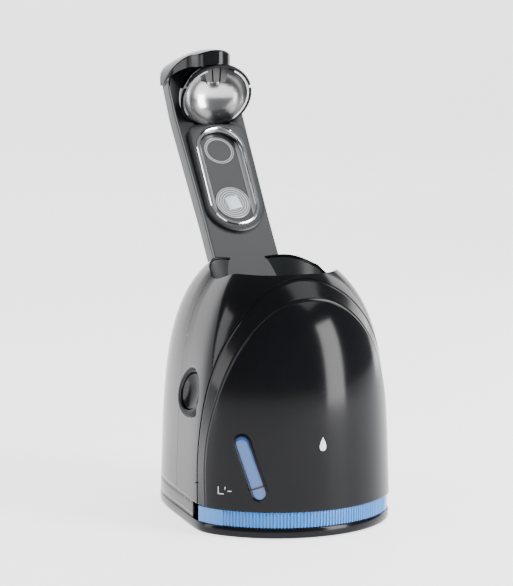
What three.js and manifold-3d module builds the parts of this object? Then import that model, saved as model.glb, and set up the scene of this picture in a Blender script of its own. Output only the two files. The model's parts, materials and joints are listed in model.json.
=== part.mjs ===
// Cleaning and charging station for an electric shaver: a helmet-shaped housing on a base tray, a flat
// cleaning cartridge behind a ribbed front strip, and a holder arm that leans back over the housing.
// Millimetres, +Z up, -Y is the front. The origin is under the middle of the whole object.
import * as THREE from "three";
import { mergeVertices } from "three/addons/utils/BufferGeometryUtils.js";
import Module from "manifold-3d";

const wasm = await Module();
wasm.setup();

// ---- driving dimensions -------------------------------------------------------------------------
const gap = 0.3; // between pieces that touch
const wall = 2.8; // housing wall

// plan of the housing: a round front drum that runs into a slightly tapering barrel
const drumRadius = 70.6;
const barrelHalfWidth = 61.6;
const barrelTaper = 0.0013; // loss of half width for each millimetre towards the rear
const barrelMiddle = 8;
const barrelHalfLength = 85;
const barrelPower = 4;
const cornerPower = 40; // higher is a sharper corner between drum and barrel

// dome over that plan
const domeHeight = 167.5; // where the front profile would close
const domeCut = 164; // the top is flat above this, inside the recess
const domePower = 5.1;
const rearPower = 3.5;
const collarRise = 4.8; // extra height of the flanks around the arm
const sideDraft = 0.00056; // loss of half width for each millimetre of height
const shrinkCentre = 5; // the sections shrink towards this line

// front panel inside a pointed arch
const panelProud = 1.2;
const archHalfWidth = 60.5;
const archFoot = 30;
const archTop = 141.8;
const archPower = 2.2;
const archRear = -24; // the panel stops here on the flanks

// base, cartridge and housing edge
const padHeight = 3;
const padRadius = 6;
const trayBottom = 0.8;
const trayFloor = 3.6;
const lipTop = 7;
const stripTop = 17;
const stripAngle = 67; // each side of the front, in degrees
const cartridgeHalfWidth = 48;
const cartridgeRear = 52;
const cartridgeWall = 2;
const ribAngle = 50;
const ribCount = 60;
const ribDepth = 0.7;
const stripTuck = 2; // the strip's ends lie this much inside its circle

// recess for the shaver head
const recessHalfWidth = 38;
const recessFront = -37;
const recessRear = 49;
const basinFloor = 115;
const basinFloorHalfWidth = 25;
const basinFloorHalfLength = 17;
const basinFloorMiddle = -9;
const basinShoulder = 144; // the wall is upright above this
const basinWall = 1.8;

// deck that carries the pump, the fan and the boards
const deckBottom = 44;
const deckThickness = 2.5;
const deckFront = -38;

// holder arm, in its own frame: x across, y from the front face to the rear, z along the arm
const armLean = 36.9; // degrees back from upright
const armFootY = 47;
const armFootZ = 157.3;
const armHalfWidth = 22;
const armFlare = 1.5; // extra half width at the cup
const armFlareAt = 108;
const armDepth = 14;
const armStart = -18;
const armTop = 170; // trimmed under the hood
const coverThickness = 2.2;
const armWall = 1.8;

// hood over the end of the arm, between two arches that run along y
const hoodHalfWidth = 22.5;
const hoodTop = 288.8;
const hoodTopAt = 108; // where the roof line is highest
const hoodFall = 17.5; // distance over which the roof falls by 1 mm
const hoodSide = 264.8; // height of the roof's side edges
const hoodInnerHalfWidth = 22.3;
const hoodEdge = 264;
const hoodInnerHeight = 15.5;
const noseHalfWidth = 11.5;
const noseTip = 96;
const noseShoulder = 107; // the nose is half an ellipse in front of this
const noseRoot = [112, 140]; // the plan widens from the nose to the arm between these

// cup over the end of the handle
const cupHalfWidth = 22.8;
const cupHalfHeight = 21.8;
const cupDepth = 20.5;
const cupThickness = 1.2;
const cupShellThickness = 1.6;
const cupMiddle = [0, 101.2, 257.5]; // middle of the rim
const cupTilt = 27.1; // degrees that the opening turns down

// contact block that hangs from the hood into the cup, and its two spring pins
const blockHalfWidth = 9;
const blockLow = 267.5;
const blockFront = 101;
const blockRear = 110.5;
const pinX = 3.3;
const pinY = 107.4;
const pinRadius = 0.9;
const pinReach = 1.8; // below the block

// raised pod with its two keys
const podHalfWidth = 20;
const podTop = 99.6;
const podBottom = 19;
const podFront = 4.6; // ahead of the arm's front face at the top
const podFoot = 2; // the same at the lower end
const bezelHalfWidth = 17;
const bezelTop = 97.5;
const bezelBottom = 23.5;
const bezelWidth = 2.2;
const startKeyRadius = 10.2;
const startKeyAt = 82;
const selectKeyRadius = 12;
const selectKeyAt = 41.5;
const statusSide = 9;

// slanted level window in the front panel
const windowAngle = 35.3; // left of the front, in degrees
const windowMiddle = 43.5;
const windowSlant = 19.5; // degrees from upright
const windowHalfLength = 20;
const windowHalfWidth = 4.2;
const windowFrame = 1.1;

// round lift button on the left side
const buttonHeight = 83.3;
const buttonFrom = 84; // degrees left of the front, seen from the origin
const buttonTurn = 9; // degrees that it faces towards the front
const buttonRise = 14; // degrees that it faces up
const ringRadius = 16.2;
const ringProud = 0.9;
const buttonRadius = 11.2;
const dishRadius = 30;

// ---- helpers ------------------------------------------------------------------------------------
const rad = (degrees) => (degrees * Math.PI) / 180;
const root = new THREE.Group();
const arm = new THREE.Group();

/** A manifold solid from a closed three.js geometry, turned to face outwards if it faces in. */
function solid(geometry) {
  const plain = geometry.index ? geometry.toNonIndexed() : geometry.clone();
  plain.deleteAttribute("normal");
  plain.deleteAttribute("uv");
  const merged = mergeVertices(plain, 1e-4);
  const vertProperties = merged.attributes.position.array;
  const triVerts = new Uint32Array(merged.index.array);
  const made = new wasm.Manifold(new wasm.Mesh({ numProp: 3, vertProperties, triVerts }));
  if (made.volume() >= 0) return made;
  return new wasm.Manifold(new wasm.Mesh({ numProp: 3, vertProperties, triVerts: triVerts.reverse() }));
}

/** A three.js geometry from a manifold solid. */
function geometryOf(made) {
  const mesh = made.getMesh();
  return new THREE.BufferGeometry()
    .setAttribute("position", new THREE.BufferAttribute(new Float32Array(mesh.vertProperties), 3))
    .setIndex(new THREE.BufferAttribute(new Uint32Array(mesh.triVerts), 1));
}

/** Adds one named mesh, made from a solid or a geometry, to a group. */
function place(group, name, shape, finish) {
  const geometry = geometryOf(shape.isBufferGeometry ? solid(shape) : shape);
  const material = new THREE.MeshStandardMaterial(finish);
  const mesh = new THREE.Mesh(geometry, material);
  mesh.name = name;
  group.add(mesh);
  return mesh;
}

/** A box between two corners. */
function boxBetween(low, high) {
  const size = high.map((value, axis) => value - low[axis]);
  const middle = high.map((value, axis) => (value + low[axis]) / 2);
  return solid(new THREE.BoxGeometry(...size).translate(...middle));
}

/** An upright cylinder, or a cone when the top radius differs. */
function post(x, y, low, high, radius, sides = 24, topRadius = radius) {
  const shape = new THREE.CylinderGeometry(topRadius, radius, high - low, sides);
  return solid(shape.rotateX(Math.PI / 2).translate(x, y, (low + high) / 2));
}

/** A disc whose axis runs along y. */
function disc(x, z, front, rear, radius, sides = 32) {
  const shape = new THREE.CylinderGeometry(radius, radius, rear - front, sides);
  return solid(shape.translate(x, (front + rear) / 2, z));
}

/** A solid of stacked rings, each a list of [x, y, z] of the same length, closed by flat fans. */
function loft(rings) {
  const count = rings[0].length;
  const points = rings.flat(2);
  const faces = [];
  for (let row = 0; row + 1 < rings.length; row++) {
    for (let i = 0; i < count; i++) {
      const a = row * count + i;
      const b = row * count + ((i + 1) % count);
      faces.push(a, b, b + count, a, b + count, a + count);
    }
  }
  const caps = [0, rings.length - 1];
  for (const row of caps) {
    const ring = rings[row];
    const centre = [0, 1, 2].map((axis) => ring.reduce((sum, p) => sum + p[axis], 0) / count);
    const hub = points.push(...centre) / 3 - 1;
    for (let i = 0; i < count; i++) {
      const a = row * count + i;
      const b = row * count + ((i + 1) % count);
      if (row === 0) faces.push(hub, b, a);
      else faces.push(hub, a, b);
    }
  }
  return solid(
    new THREE.BufferGeometry()
      .setAttribute("position", new THREE.BufferAttribute(new Float32Array(points), 3))
      .setIndex(faces),
  );
}

/** The directions of a closed ring, from the front round to the left and back. */
function directions(count) {
  return Array.from({ length: count }, (_, i) => (-2 * Math.PI * i) / count);
}

/** How far the plan's edge lies from the barrel's middle in a direction measured from the front. */
function planRadius(angle) {
  let low = 0;
  let high = 2 * barrelHalfLength;
  for (let step = 0; step < 40; step++) {
    const middle = (low + high) / 2;
    const x = middle * Math.sin(angle);
    const y = barrelMiddle - middle * Math.cos(angle);
    const drum = Math.hypot(x, Math.min(y, 0)) / drumRadius;
    const across = x / (barrelHalfWidth * (1 - barrelTaper * y));
    const along = (y - barrelMiddle) / barrelHalfLength;
    const barrel = (Math.abs(across) ** barrelPower + Math.abs(along) ** barrelPower) ** (1 / barrelPower);
    if (drum ** cornerPower + barrel ** cornerPower > 1) high = middle;
    else low = middle;
  }
  return low;
}

/** What is left of a length at a height, for a profile that closes at the top. */
function closing(height, top, power) {
  return Math.sqrt(Math.max(0, 1 - (Math.max(0, height) / top) ** power));
}

/** One section of the dome at a height, moved inwards by inset. */
function domeRing(height, inset, count) {
  return directions(count).map((angle) => {
    const radius = planRadius(angle) - inset;
    const x = radius * Math.sin(angle);
    const y = barrelMiddle - radius * Math.cos(angle);
    const rise = THREE.MathUtils.smoothstep(y, 5, 35) * collarRise;
    const across = (1 - sideDraft * height) * closing(height, domeHeight + 2 + rise, domePower);
    const front = closing(height, domeHeight, domePower);
    const rear = closing(height, domeHeight + 3, rearPower);
    const along = y < shrinkCentre ? front : rear;
    return [x * across, shrinkCentre + (y - shrinkCentre) * along, height];
  });
}

/** The dome as a solid from one height to another; drop lowers it, inset draws it in. */
function dome(low, high, inset, drop, count, rows) {
  const rings = [];
  for (let row = 0; row <= rows; row++) {
    const share = Math.sin((row / rows) * (Math.PI / 2)) ** 0.8;
    const height = low + (high - low) * share;
    const ring = domeRing(height + drop, inset, count);
    rings.push(ring.map(([x, y]) => [x, y, height]));
  }
  return loft(rings);
}

/** The point of the dome at a height, proud of its face, in a direction from the front. */
function surfaceAt(angle, height, proud) {
  const ring = domeRing(height, -proud, 720);
  const miss = ([x, y]) => Math.abs(Math.atan2(x, -y) - angle);
  return new THREE.Vector3(...ring.reduce((best, point) => (miss(point) < miss(best) ? point : best)));
}

/** A closed outline of points extruded upright between two heights. */
function prism(outline, low, high) {
  return loft([low, high].map((z) => outline.map(([x, y]) => [x, y, z])));
}

/** A superellipse in plan. */
function superellipse(middleX, middleY, halfWidth, halfLength, power, count) {
  return directions(count).map((angle) => {
    const across = Math.sin(angle);
    const along = -Math.cos(angle);
    const x = Math.sign(across) * Math.abs(across) ** (2 / power);
    const y = Math.sign(along) * Math.abs(along) ** (2 / power);
    return [middleX + halfWidth * x, middleY + halfLength * y];
  });
}

/** A rod along a curve through the given points. */
function rod(points, radius, steps, sides = 8) {
  const path = new THREE.CatmullRomCurve3(points.map((p) => new THREE.Vector3(...p)));
  const section = new THREE.Shape(
    Array.from({ length: sides }, (_, i) => {
      const turn = (2 * Math.PI * i) / sides;
      return new THREE.Vector2(radius * Math.cos(turn), radius * Math.sin(turn));
    }),
  );
  return new THREE.ExtrudeGeometry(section, { steps, bevelEnabled: false, extrudePath: path });
}

/** Moves a solid through a matrix. */
function moved(made, matrix) {
  return solid(geometryOf(made).applyMatrix4(matrix));
}

// ---- finishes -----------------------------------------------------------------------------------
const glossBlack = { color: 0x0b0c0e, roughness: 0.12, metalness: 0 };
const satinBlack = { color: 0x26292c, roughness: 0.42, metalness: 0 };
const mattBlack = { color: 0x141517, roughness: 0.6, metalness: 0 };
const rubber = { color: 0x1c1c1c, roughness: 0.9, metalness: 0 };
const blue = { color: 0x5ea6d8, roughness: 0.35, metalness: 0 };
const clearBlue = { color: 0x6fb2e2, roughness: 0.15, metalness: 0 };
const chrome = { color: 0xd8dbde, roughness: 0.08, metalness: 1 };
const satinMetal = { color: 0x9a9ea2, roughness: 0.3, metalness: 1 };
const steel = { color: 0xb4b8bc, roughness: 0.35, metalness: 1 };
const boardGreen = { color: 0x1f5a3a, roughness: 0.5, metalness: 0 };
const paleFilter = { color: 0xd9dde0, roughness: 0.9, metalness: 0 };

// ---- base tray, feet, posts and springs -----------------------------------------------------------
const ringCount = 56;
const footPlaces = { front_left: [-42, -32], front_right: [42, -32], rear_left: [-40, 66], rear_right: [40, 66] };
const footSockets = Object.values(footPlaces).map(([x, y]) => post(x, y, 0, padHeight + gap, padRadius + gap));

const planRing = (inset, z) => domeRing(0, inset, ringCount).map(([x, y]) => [x, y, z]);
const guideX = 30;
const guideY = 68;
const guideRadius = 4;
const guideTop = 62;
const springRadius = 7;
const springWire = 0.8;

let tray = loft([planRing(1.2, trayBottom), planRing(0, trayBottom + 1.4), planRing(0, lipTop)]);
tray = tray.subtract(loft([planRing(wall, trayFloor), planRing(wall, lipTop + 1)]));
for (const socket of footSockets) tray = tray.subtract(socket);
place(root, "base_tray", tray, mattBlack);
for (const [corner, [x, y]] of Object.entries(footPlaces)) {
  place(root, "foot_" + corner, post(x, y, 0, padHeight, padRadius), rubber);
}
for (const [side, sign] of [["left", -1], ["right", 1]]) {
  const x = sign * guideX;
  const pin = post(x, guideY, trayFloor + gap, trayFloor + 2, guideRadius + 5);
  place(root, "guide_post_" + side, pin.add(post(x, guideY, trayFloor + 1, guideTop, guideRadius, 20)), steel);
  const springFoot = trayFloor + 2 + gap + springWire;
  const springHead = deckBottom - gap - springWire;
  const turns = 5;
  const stepsPerTurn = 8;
  const coil = Array.from({ length: turns * stepsPerTurn + 1 }, (_, i) => {
    const turn = (2 * Math.PI * i) / stepsPerTurn;
    const height = springFoot + ((springHead - springFoot) * i) / (turns * stepsPerTurn);
    return [x + springRadius * Math.cos(turn), guideY + springRadius * Math.sin(turn), height];
  });
  place(root, "lift_spring_" + side, rod(coil, springWire, turns * stepsPerTurn, 5), steel);
}
const catchLow = [-55.6, -12];
const catchHigh = [-48.8, 2];
const catchFoot = boxBetween([...catchLow, trayFloor + gap], [...catchHigh, trayFloor + 2.3]);
const catchLug = boxBetween([catchHigh[0] - 2.6, catchLow[1], trayFloor + 2], [...catchHigh, stripTop + 5]);
place(root, "tray_catch", catchFoot.add(catchLug), steel);

// ---- cleaning cartridge ---------------------------------------------------------------------------
const cartridgeBottom = lipTop + 0.4;
const cartridgeTop = stripTop - gap;
const stripRadius = drumRadius - 0.2;
/** Outline of the cartridge: the drum's arc in front, a narrower box behind. */
function cartridgeOutline(halfWidth, radius, rear) {
  const reach = Math.asin(halfWidth / radius);
  const outline = [];
  const steps = 24;
  for (let i = 0; i <= steps; i++) {
    const angle = reach - (2 * reach * i) / steps;
    outline.push([radius * Math.sin(angle), -radius * Math.cos(angle)]);
  }
  outline.push([-halfWidth, rear - 12], [-halfWidth + 12, rear], [halfWidth - 12, rear], [halfWidth, rear - 12]);
  return outline;
}
/** Strip along the front, from one end angle to the other, with fine ribs in its middle. */
function stripOutline(innerRadius) {
  const outline = [];
  const end = rad(stripAngle - 0.6);
  const ribs = rad(ribAngle);
  const edge = (angle, radius) => outline.push([radius * Math.sin(angle), -radius * Math.cos(angle)]);
  const endRadius = (share) => stripRadius - stripTuck * share ** 2;
  for (let i = 0; i <= 4; i++) edge(end - ((end - ribs) * i) / 4, endRadius(1 - i / 4));
  for (let i = 0; i < ribCount; i++) {
    const from = ribs - (2 * ribs * i) / ribCount;
    const width = (2 * ribs) / ribCount;
    edge(from - width * 0.3, stripRadius);
    edge(from - width * 0.5, stripRadius - ribDepth);
    edge(from - width * 0.8, stripRadius - ribDepth);
    edge(from - width, stripRadius);
  }
  for (let i = 1; i <= 4; i++) edge(-ribs - ((end - ribs) * i) / 4, endRadius(i / 4));
  const steps = 28;
  for (let i = 0; i <= steps; i++) edge(-end + (2 * end * i) / steps, innerRadius);
  return outline;
}
/** A solid from a plan outline of any shape between two heights. */
function plate(outline, low, high, holes = []) {
  const shape = new THREE.Shape(outline.map(([x, y]) => new THREE.Vector2(x, y)));
  shape.holes = holes.map((hole) => new THREE.Path(hole.map(([x, y]) => new THREE.Vector2(x, y))));
  return solid(new THREE.ExtrudeGeometry(shape, { depth: high - low, bevelEnabled: false }).translate(0, 0, low));
}
const bodyRadius = stripRadius - 2.4;
const lidThickness = 1.4;
const tubTop = cartridgeTop - lidThickness - gap;
const tubOuter = plate(cartridgeOutline(cartridgeHalfWidth, bodyRadius, cartridgeRear), cartridgeBottom, tubTop);
const tubInner = plate(
  cartridgeOutline(cartridgeHalfWidth - cartridgeWall, bodyRadius - cartridgeWall, cartridgeRear - cartridgeWall),
  cartridgeBottom + cartridgeWall,
  tubTop + 1,
);
const strip = plate(stripOutline(bodyRadius - 1.2), cartridgeBottom, cartridgeTop);
place(root, "cartridge_tub", tubOuter.subtract(tubInner).add(strip), blue);
const lidOutline = cartridgeOutline(cartridgeHalfWidth - gap, bodyRadius - 1.2 - gap, cartridgeRear);
let lid = plate(lidOutline, cartridgeTop - lidThickness, cartridgeTop);
const intakeAt = [-22, -4];
const drainAt = [8, -18];
for (const [x, y] of [intakeAt, drainAt]) lid = lid.subtract(post(x, y, 0, stripTop + 5, 6));
place(root, "cartridge_lid", lid, mattBlack);
const filterLow = cartridgeBottom + cartridgeWall + gap;
place(root, "cartridge_filter", boxBetween([-4, -34, filterLow], [38, 20, tubTop - gap]), paleFilter);

// ---- housing shell and front panel ------------------------------------------------------------------
const shellBottom = lipTop + gap;
const domeRows = 11;
const outer = dome(shellBottom, domeCut, 0, 0, ringCount, domeRows);
const inner = dome(shellBottom - 1, domeCut - wall, wall, wall, ringCount, domeRows);
const panelOuter = dome(shellBottom, domeCut, -panelProud, 0, ringCount, domeRows);

/** The arch over the front panel, as a solid that runs forward from just behind the corners. */
function archSolid(extra) {
  const halfWidth = archHalfWidth + extra;
  const rise = archTop - archFoot + extra;
  const outline = [[halfWidth, 0]];
  const steps = 32;
  for (let i = 0; i <= steps; i++) {
    const turn = (Math.PI * i) / steps;
    const across = Math.cos(turn);
    const x = Math.sign(across) * Math.abs(across) ** (2 / archPower) * halfWidth;
    const z = archFoot + Math.sin(turn) ** (2 / archPower) * rise;
    outline.push([x, z]);
  }
  outline.push([-halfWidth, 0]);
  const shape = new THREE.Shape(outline.map(([x, z]) => new THREE.Vector2(x, z)));
  const run = new THREE.ExtrudeGeometry(shape, { depth: 2 * drumRadius, bevelEnabled: false });
  return solid(run.rotateX(Math.PI / 2).translate(0, archRear + extra, 0));
}
const recessMiddle = (recessFront + recessRear) / 2;
const recessHalfLength = (recessRear - recessFront) / 2;
const recessCut = prism(
  superellipse(0, recessMiddle, recessHalfWidth, recessHalfLength, 2.2, 48),
  basinFloor - 12,
  domeCut + 10,
);
const armMatrix = new THREE.Matrix4()
  .makeTranslation(0, armFootY, armFootZ)
  .multiply(new THREE.Matrix4().makeRotationX(rad(-armLean)));
const armSlot = moved(
  boxBetween([-armHalfWidth - 0.6, -0.6, armStart - 30], [armHalfWidth + 0.6, armDepth + 0.6, 90]),
  armMatrix,
);
// the lift button's own frame: y points into the housing and z up along its face
const buttonIn = new THREE.Vector3(
  Math.cos(rad(buttonRise)) * Math.cos(rad(buttonTurn)),
  Math.cos(rad(buttonRise)) * Math.sin(rad(buttonTurn)),
  -Math.sin(rad(buttonRise)),
);
const buttonAcross = new THREE.Vector3().crossVectors(buttonIn, new THREE.Vector3(0, 0, 1)).normalize();
const buttonMatrix = new THREE.Matrix4()
  .makeBasis(buttonAcross, buttonIn, new THREE.Vector3().crossVectors(buttonAcross, buttonIn))
  .setPosition(surfaceAt(-rad(buttonFrom), buttonHeight, 0));
const stripReach = 2 * drumRadius;
const stripEdge = [stripReach * Math.sin(rad(stripAngle)), -stripReach * Math.cos(rad(stripAngle))];
const stripCut = plate(
  [[0, 8], [-stripEdge[0], stripEdge[1] + 8], [-stripEdge[0], -stripReach], [stripEdge[0], -stripReach], [stripEdge[0], stripEdge[1] + 8]],
  0,
  stripTop,
);
const inletHalfWidth = 11;
const inletLow = 13;
const inletHigh = 29;
const inletCut = boxBetween([-inletHalfWidth - gap, 70, inletLow - gap], [inletHalfWidth + gap, 110, inletHigh + gap]);
const buttonSocket = moved(disc(0, 0, -10, 20, ringRadius + gap, 40), buttonMatrix);
const shell = outer
  .subtract(inner)
  .subtract(archSolid(gap))
  .subtract(recessCut)
  .subtract(armSlot)
  .subtract(stripCut)
  .subtract(buttonSocket)
  .subtract(inletCut);
place(root, "housing_shell", shell, glossBlack);

// the window's own frame: x across, y inwards, z along the slot
const windowUp = new THREE.Vector3(-Math.sin(rad(windowSlant)) * Math.cos(rad(windowAngle)),
  Math.sin(rad(windowSlant)) * Math.sin(rad(windowAngle)), Math.cos(rad(windowSlant)));
const windowIn = new THREE.Vector3(Math.sin(rad(windowAngle)), Math.cos(rad(windowAngle)), 0);
const windowAcross = new THREE.Vector3().crossVectors(windowIn, windowUp);
const windowMatrix = new THREE.Matrix4()
  .makeBasis(windowAcross, windowIn, windowUp)
  .setPosition(surfaceAt(-rad(windowAngle), windowMiddle, panelProud));
/** A slot with round ends in the window's frame, from one depth to another. */
function slot(halfLength, halfWidth, front, rear) {
  const shape = new THREE.Shape();
  shape.absarc(0, halfLength - halfWidth, halfWidth, 0, Math.PI, false);
  shape.absarc(0, halfWidth - halfLength, halfWidth, Math.PI, 2 * Math.PI, false);
  const run = new THREE.ExtrudeGeometry(shape, { depth: rear - front, bevelEnabled: false, curveSegments: 10 });
  return solid(run.rotateX(Math.PI / 2).translate(0, rear, 0));
}
const frameHalfLength = windowHalfLength + windowFrame;
const frameHalfWidth = windowHalfWidth + windowFrame;
const windowHole = moved(slot(frameHalfLength + gap, frameHalfWidth + gap, -6, 12), windowMatrix);
const panel = panelOuter
  .subtract(inner)
  .intersect(archSolid(0))
  .intersect(boxBetween([-100, -100, stripTop + 0.2], [100, -2, 200]))
  .subtract(recessCut)
  .subtract(windowHole);
place(root, "front_panel", panel, glossBlack);

const windowGroup = new THREE.Group();
windowGroup.applyMatrix4(windowMatrix);
root.add(windowGroup);
const channelDepth = 9;
const frameOuter = slot(frameHalfLength, frameHalfWidth, -0.4, channelDepth);
const frameInner = slot(windowHalfLength, windowHalfWidth, -1, channelDepth - 1.5);
place(windowGroup, "window_frame", frameOuter.subtract(frameInner), mattBlack);
place(windowGroup, "sight_glass", slot(windowHalfLength - gap, windowHalfWidth - gap, -0.1, 1.6), clearBlue);
const floatLength = 5;
const floatFoot = -windowHalfLength + windowHalfWidth + 2;
const float = boxBetween([-2.6, 2.2, floatFoot], [2.6, 6.4, floatFoot + floatLength]);
place(windowGroup, "level_float", float, mattBlack);

// ---- recess basin ---------------------------------------------------------------------------------
/** The basin's cup, drawn in by inset, from its floor to above the rim. */
function basinCup(inset, floor) {
  const rows = 6;
  const rings = [];
  for (let row = 0; row <= rows + 1; row++) {
    const share = Math.min(1, row / rows);
    const ease = share ** 0.7;
    const height = row > rows ? domeHeight : floor + (basinShoulder - floor) * share;
    const mix = (low, high) => low + (high - low) * ease - inset;
    const middle = basinFloorMiddle + (recessMiddle - basinFloorMiddle) * ease;
    const ring = superellipse(
      0, middle, mix(basinFloorHalfWidth, recessHalfWidth - gap), mix(basinFloorHalfLength, recessHalfLength - gap), 2.2, 40);
    rings.push(ring.map(([x, y]) => [x, y, height]));
  }
  return loft(rings);
}
const basinTopLimit = dome(basinFloor - 10, domeCut, 0.5, 0.8, ringCount, 10);
const drainRadius = 3;
const basin = basinCup(0, basinFloor - basinWall)
  .subtract(basinCup(basinWall, basinFloor))
  .intersect(basinTopLimit)
  .subtract(armSlot)
  .subtract(post(drainAt[0], basinFloorMiddle, basinFloor - 10, basinFloor + 3, drainRadius));
place(root, "recess_basin", basin, satinBlack);
const screenLift = 1.6;
const screen = post(drainAt[0], basinFloorMiddle, basinFloor + gap, basinFloor + screenLift, drainRadius + 3);
place(root, "drain_screen", screen, steel);

// ---- deck, pump, fan, boards and pipes ----------------------------------------------------------------
const deckTop = deckBottom + deckThickness;
const pumpAt = [-22, -4];
const fanAt = [26, 12];
const deckRing = domeRing(deckTop, wall + 0.6, ringCount);
let deck = prism(deckRing.map(([x, y]) => [x, y]), deckBottom, deckTop)
  .intersect(boxBetween([-100, deckFront, 0], [100, 120, 100]))
  .subtract(post(pumpAt[0], pumpAt[1], 0, 100, 4.5))
  .subtract(post(drainAt[0], drainAt[1], 0, 100, 4.5))
  .subtract(boxBetween([-100, -18, 0], [-38.5, 8, 100]));
for (const sign of [-1, 1]) deck = deck.subtract(post(sign * guideX, guideY, 0, 100, guideRadius + 0.6));
place(root, "chassis_deck", deck, mattBlack);

const rotorGap = 1;
/** A cup that stands on the deck round a rotor. */
function rotorCup([x, y], radius, height, hole) {
  const low = deckTop + gap;
  const cup = post(x, y, low, low + height, radius, 32);
  const hollow = post(x, y, low + 2, low + height + 1, radius - 2.2, 32);
  return cup.subtract(hollow).subtract(post(x, y, low - 1, low + 3, hole));
}
/** A rotor with upright vanes round a hub and a shaft that runs up into its motor. */
function rotor([x, y], low, radius, height, vanes, shaftTop) {
  let made = post(x, y, low, low + 1.5, radius, 24).add(post(x, y, low + 1, low + height, 3.4, 16));
  for (let i = 0; i < vanes; i++) {
    const vane = new THREE.BoxGeometry(radius - 3.2, 1.4, height - 1);
    vane.translate((radius - 3.2) / 2 + 2.8, 0, 0).rotateZ((2 * Math.PI * i) / vanes);
    made = made.add(solid(vane.translate(x, y, low + 1 + (height - 1) / 2)));
  }
  return made.add(post(x, y, low + height - 1, shaftTop, 1.5, 12));
}
/** A can motor over a rotor cup, with a bore for the rotor's shaft. */
function motor([x, y], low, height, radius, flange) {
  const can = post(x, y, low, low + 2.5, flange, 32).add(post(x, y, low + 2, low + height, radius, 28));
  return can.subtract(post(x, y, low - 1, low + height * 0.6, 1.5 + gap, 12));
}
const pumpHeight = 15;
const fanHeight = 17;
const pumpRadius = 17;
const fanRadius = 22;
const rotorLow = deckTop + gap + 2 + rotorGap;
place(root, "pump_housing", rotorCup(pumpAt, pumpRadius, pumpHeight, 3.2), mattBlack);
place(root, "pump_rotor",
  rotor(pumpAt, rotorLow, pumpRadius - 3.4, pumpHeight - 4.5, 6, deckTop + pumpHeight + 10), satinMetal);
place(root, "pump_motor", motor(pumpAt, deckTop + 2 * gap + pumpHeight, 34, 13, pumpRadius), steel);
place(root, "fan_housing", rotorCup(fanAt, fanRadius, fanHeight, 8), mattBlack);
place(root, "fan_rotor",
  rotor(fanAt, rotorLow, fanRadius - 3.4, fanHeight - 4.5, 9, deckTop + fanHeight + 8), mattBlack);
place(root, "fan_motor", motor(fanAt, deckTop + 2 * gap + fanHeight, 22, 12, fanRadius), steel);
const pipeRadius = 2.6;
const pipeEnd = stripTop + 1;
const drainTop = basinFloor - basinWall - 2 * gap;
place(root, "drain_pipe", rod([
  [drainAt[0], basinFloorMiddle, drainTop],
  [drainAt[0], basinFloorMiddle - 1, drainTop - 18],
  [drainAt[0], drainAt[1], deckTop + 24],
  [drainAt[0], drainAt[1], pipeEnd],
], pipeRadius, 16), mattBlack);
place(root, "intake_pipe", post(pumpAt[0], pumpAt[1], pipeEnd, deckTop - gap, pipeRadius, 12), mattBlack);
const feedX = pumpAt[0] - pumpRadius - 4;
place(root, "feed_pipe", rod([
  [feedX, pumpAt[1] + 14, deckTop + gap + 1],
  [feedX, pumpAt[1] + 14, deckTop + 30],
  [feedX + 2, pumpAt[1] + 14, basinFloor - 8],
  [feedX + 4, pumpAt[1] + 15, basinFloor + 4],
], pipeRadius, 12), mattBlack);
const boardY = 77;
place(root, "power_board", boxBetween([-28, boardY, deckTop + gap], [28, boardY + 1.6, deckTop + 46]), boardGreen);
place(root, "transformer", boxBetween([-13, 50, deckTop + gap], [13, boardY - gap - 1, deckTop + 22]), mattBlack);
const inletRear = 92;
let inlet = boxBetween([-inletHalfWidth, inletRear - 18, inletLow], [inletHalfWidth, inletRear, inletHigh]);
inlet = inlet.subtract(boxBetween([-8, inletRear - 11, inletLow + 3.5], [8, inletRear + 1, inletHigh - 3.5]));
for (const x of [-4.4, 4.4]) {
  const prong = new THREE.CylinderGeometry(1.2, 1.2, 10, 12).translate(x, inletRear - 7, (inletLow + inletHigh) / 2);
  inlet = inlet.add(solid(prong));
}
place(root, "power_inlet", inlet, mattBlack);

// ---- lift button and latch ------------------------------------------------------------------------------
const buttonGroup = new THREE.Group();
buttonGroup.applyMatrix4(buttonMatrix);
root.add(buttonGroup);
const ringDepth = 8;
const faceDepth = 0.3; // the button's rim below the dome's face
const nearDome = moved(dome(40, 130, -ringProud, 0, ringCount, 10), buttonMatrix.clone().invert());
const ringBody = disc(0, 0, -8, ringDepth, ringRadius, 40).subtract(disc(0, 0, -9, 20, buttonRadius + gap, 40));
place(buttonGroup, "button_ring", ringBody.intersect(nearDome), glossBlack);
const dishHollow = Math.sqrt(dishRadius ** 2 - (buttonRadius - 1) ** 2); // the rim keeps a flat land 1 mm wide
const dish = new THREE.SphereGeometry(dishRadius, 40, 40).translate(0, faceDepth - dishHollow, 0);
const stemEnd = ringDepth + 1;
place(
  buttonGroup, "lift_button",
  disc(0, 0, faceDepth, ringDepth - 1, buttonRadius, 40).subtract(solid(dish)).add(disc(0, 0, ringDepth - 2, stemEnd, 4, 16)),
  glossBlack,
);
const stemTip = new THREE.Vector3(0, stemEnd, 0).applyMatrix4(buttonMatrix);
const latchX = stemTip.x + 1.5;
const latchLow = stripTop + 6;
const latchPlate = boxBetween([latchX, -11, latchLow], [latchX + 2, 1, buttonHeight + 6]);
const latchHook = boxBetween([catchHigh[0] - 7, -11, latchLow], [latchX + 2, 1, latchLow + 5]);
place(root, "latch_slider", latchPlate.add(latchHook), steel);

// ---- holder arm ---------------------------------------------------------------------------------------
arm.applyMatrix4(armMatrix);
root.add(arm);
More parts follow.
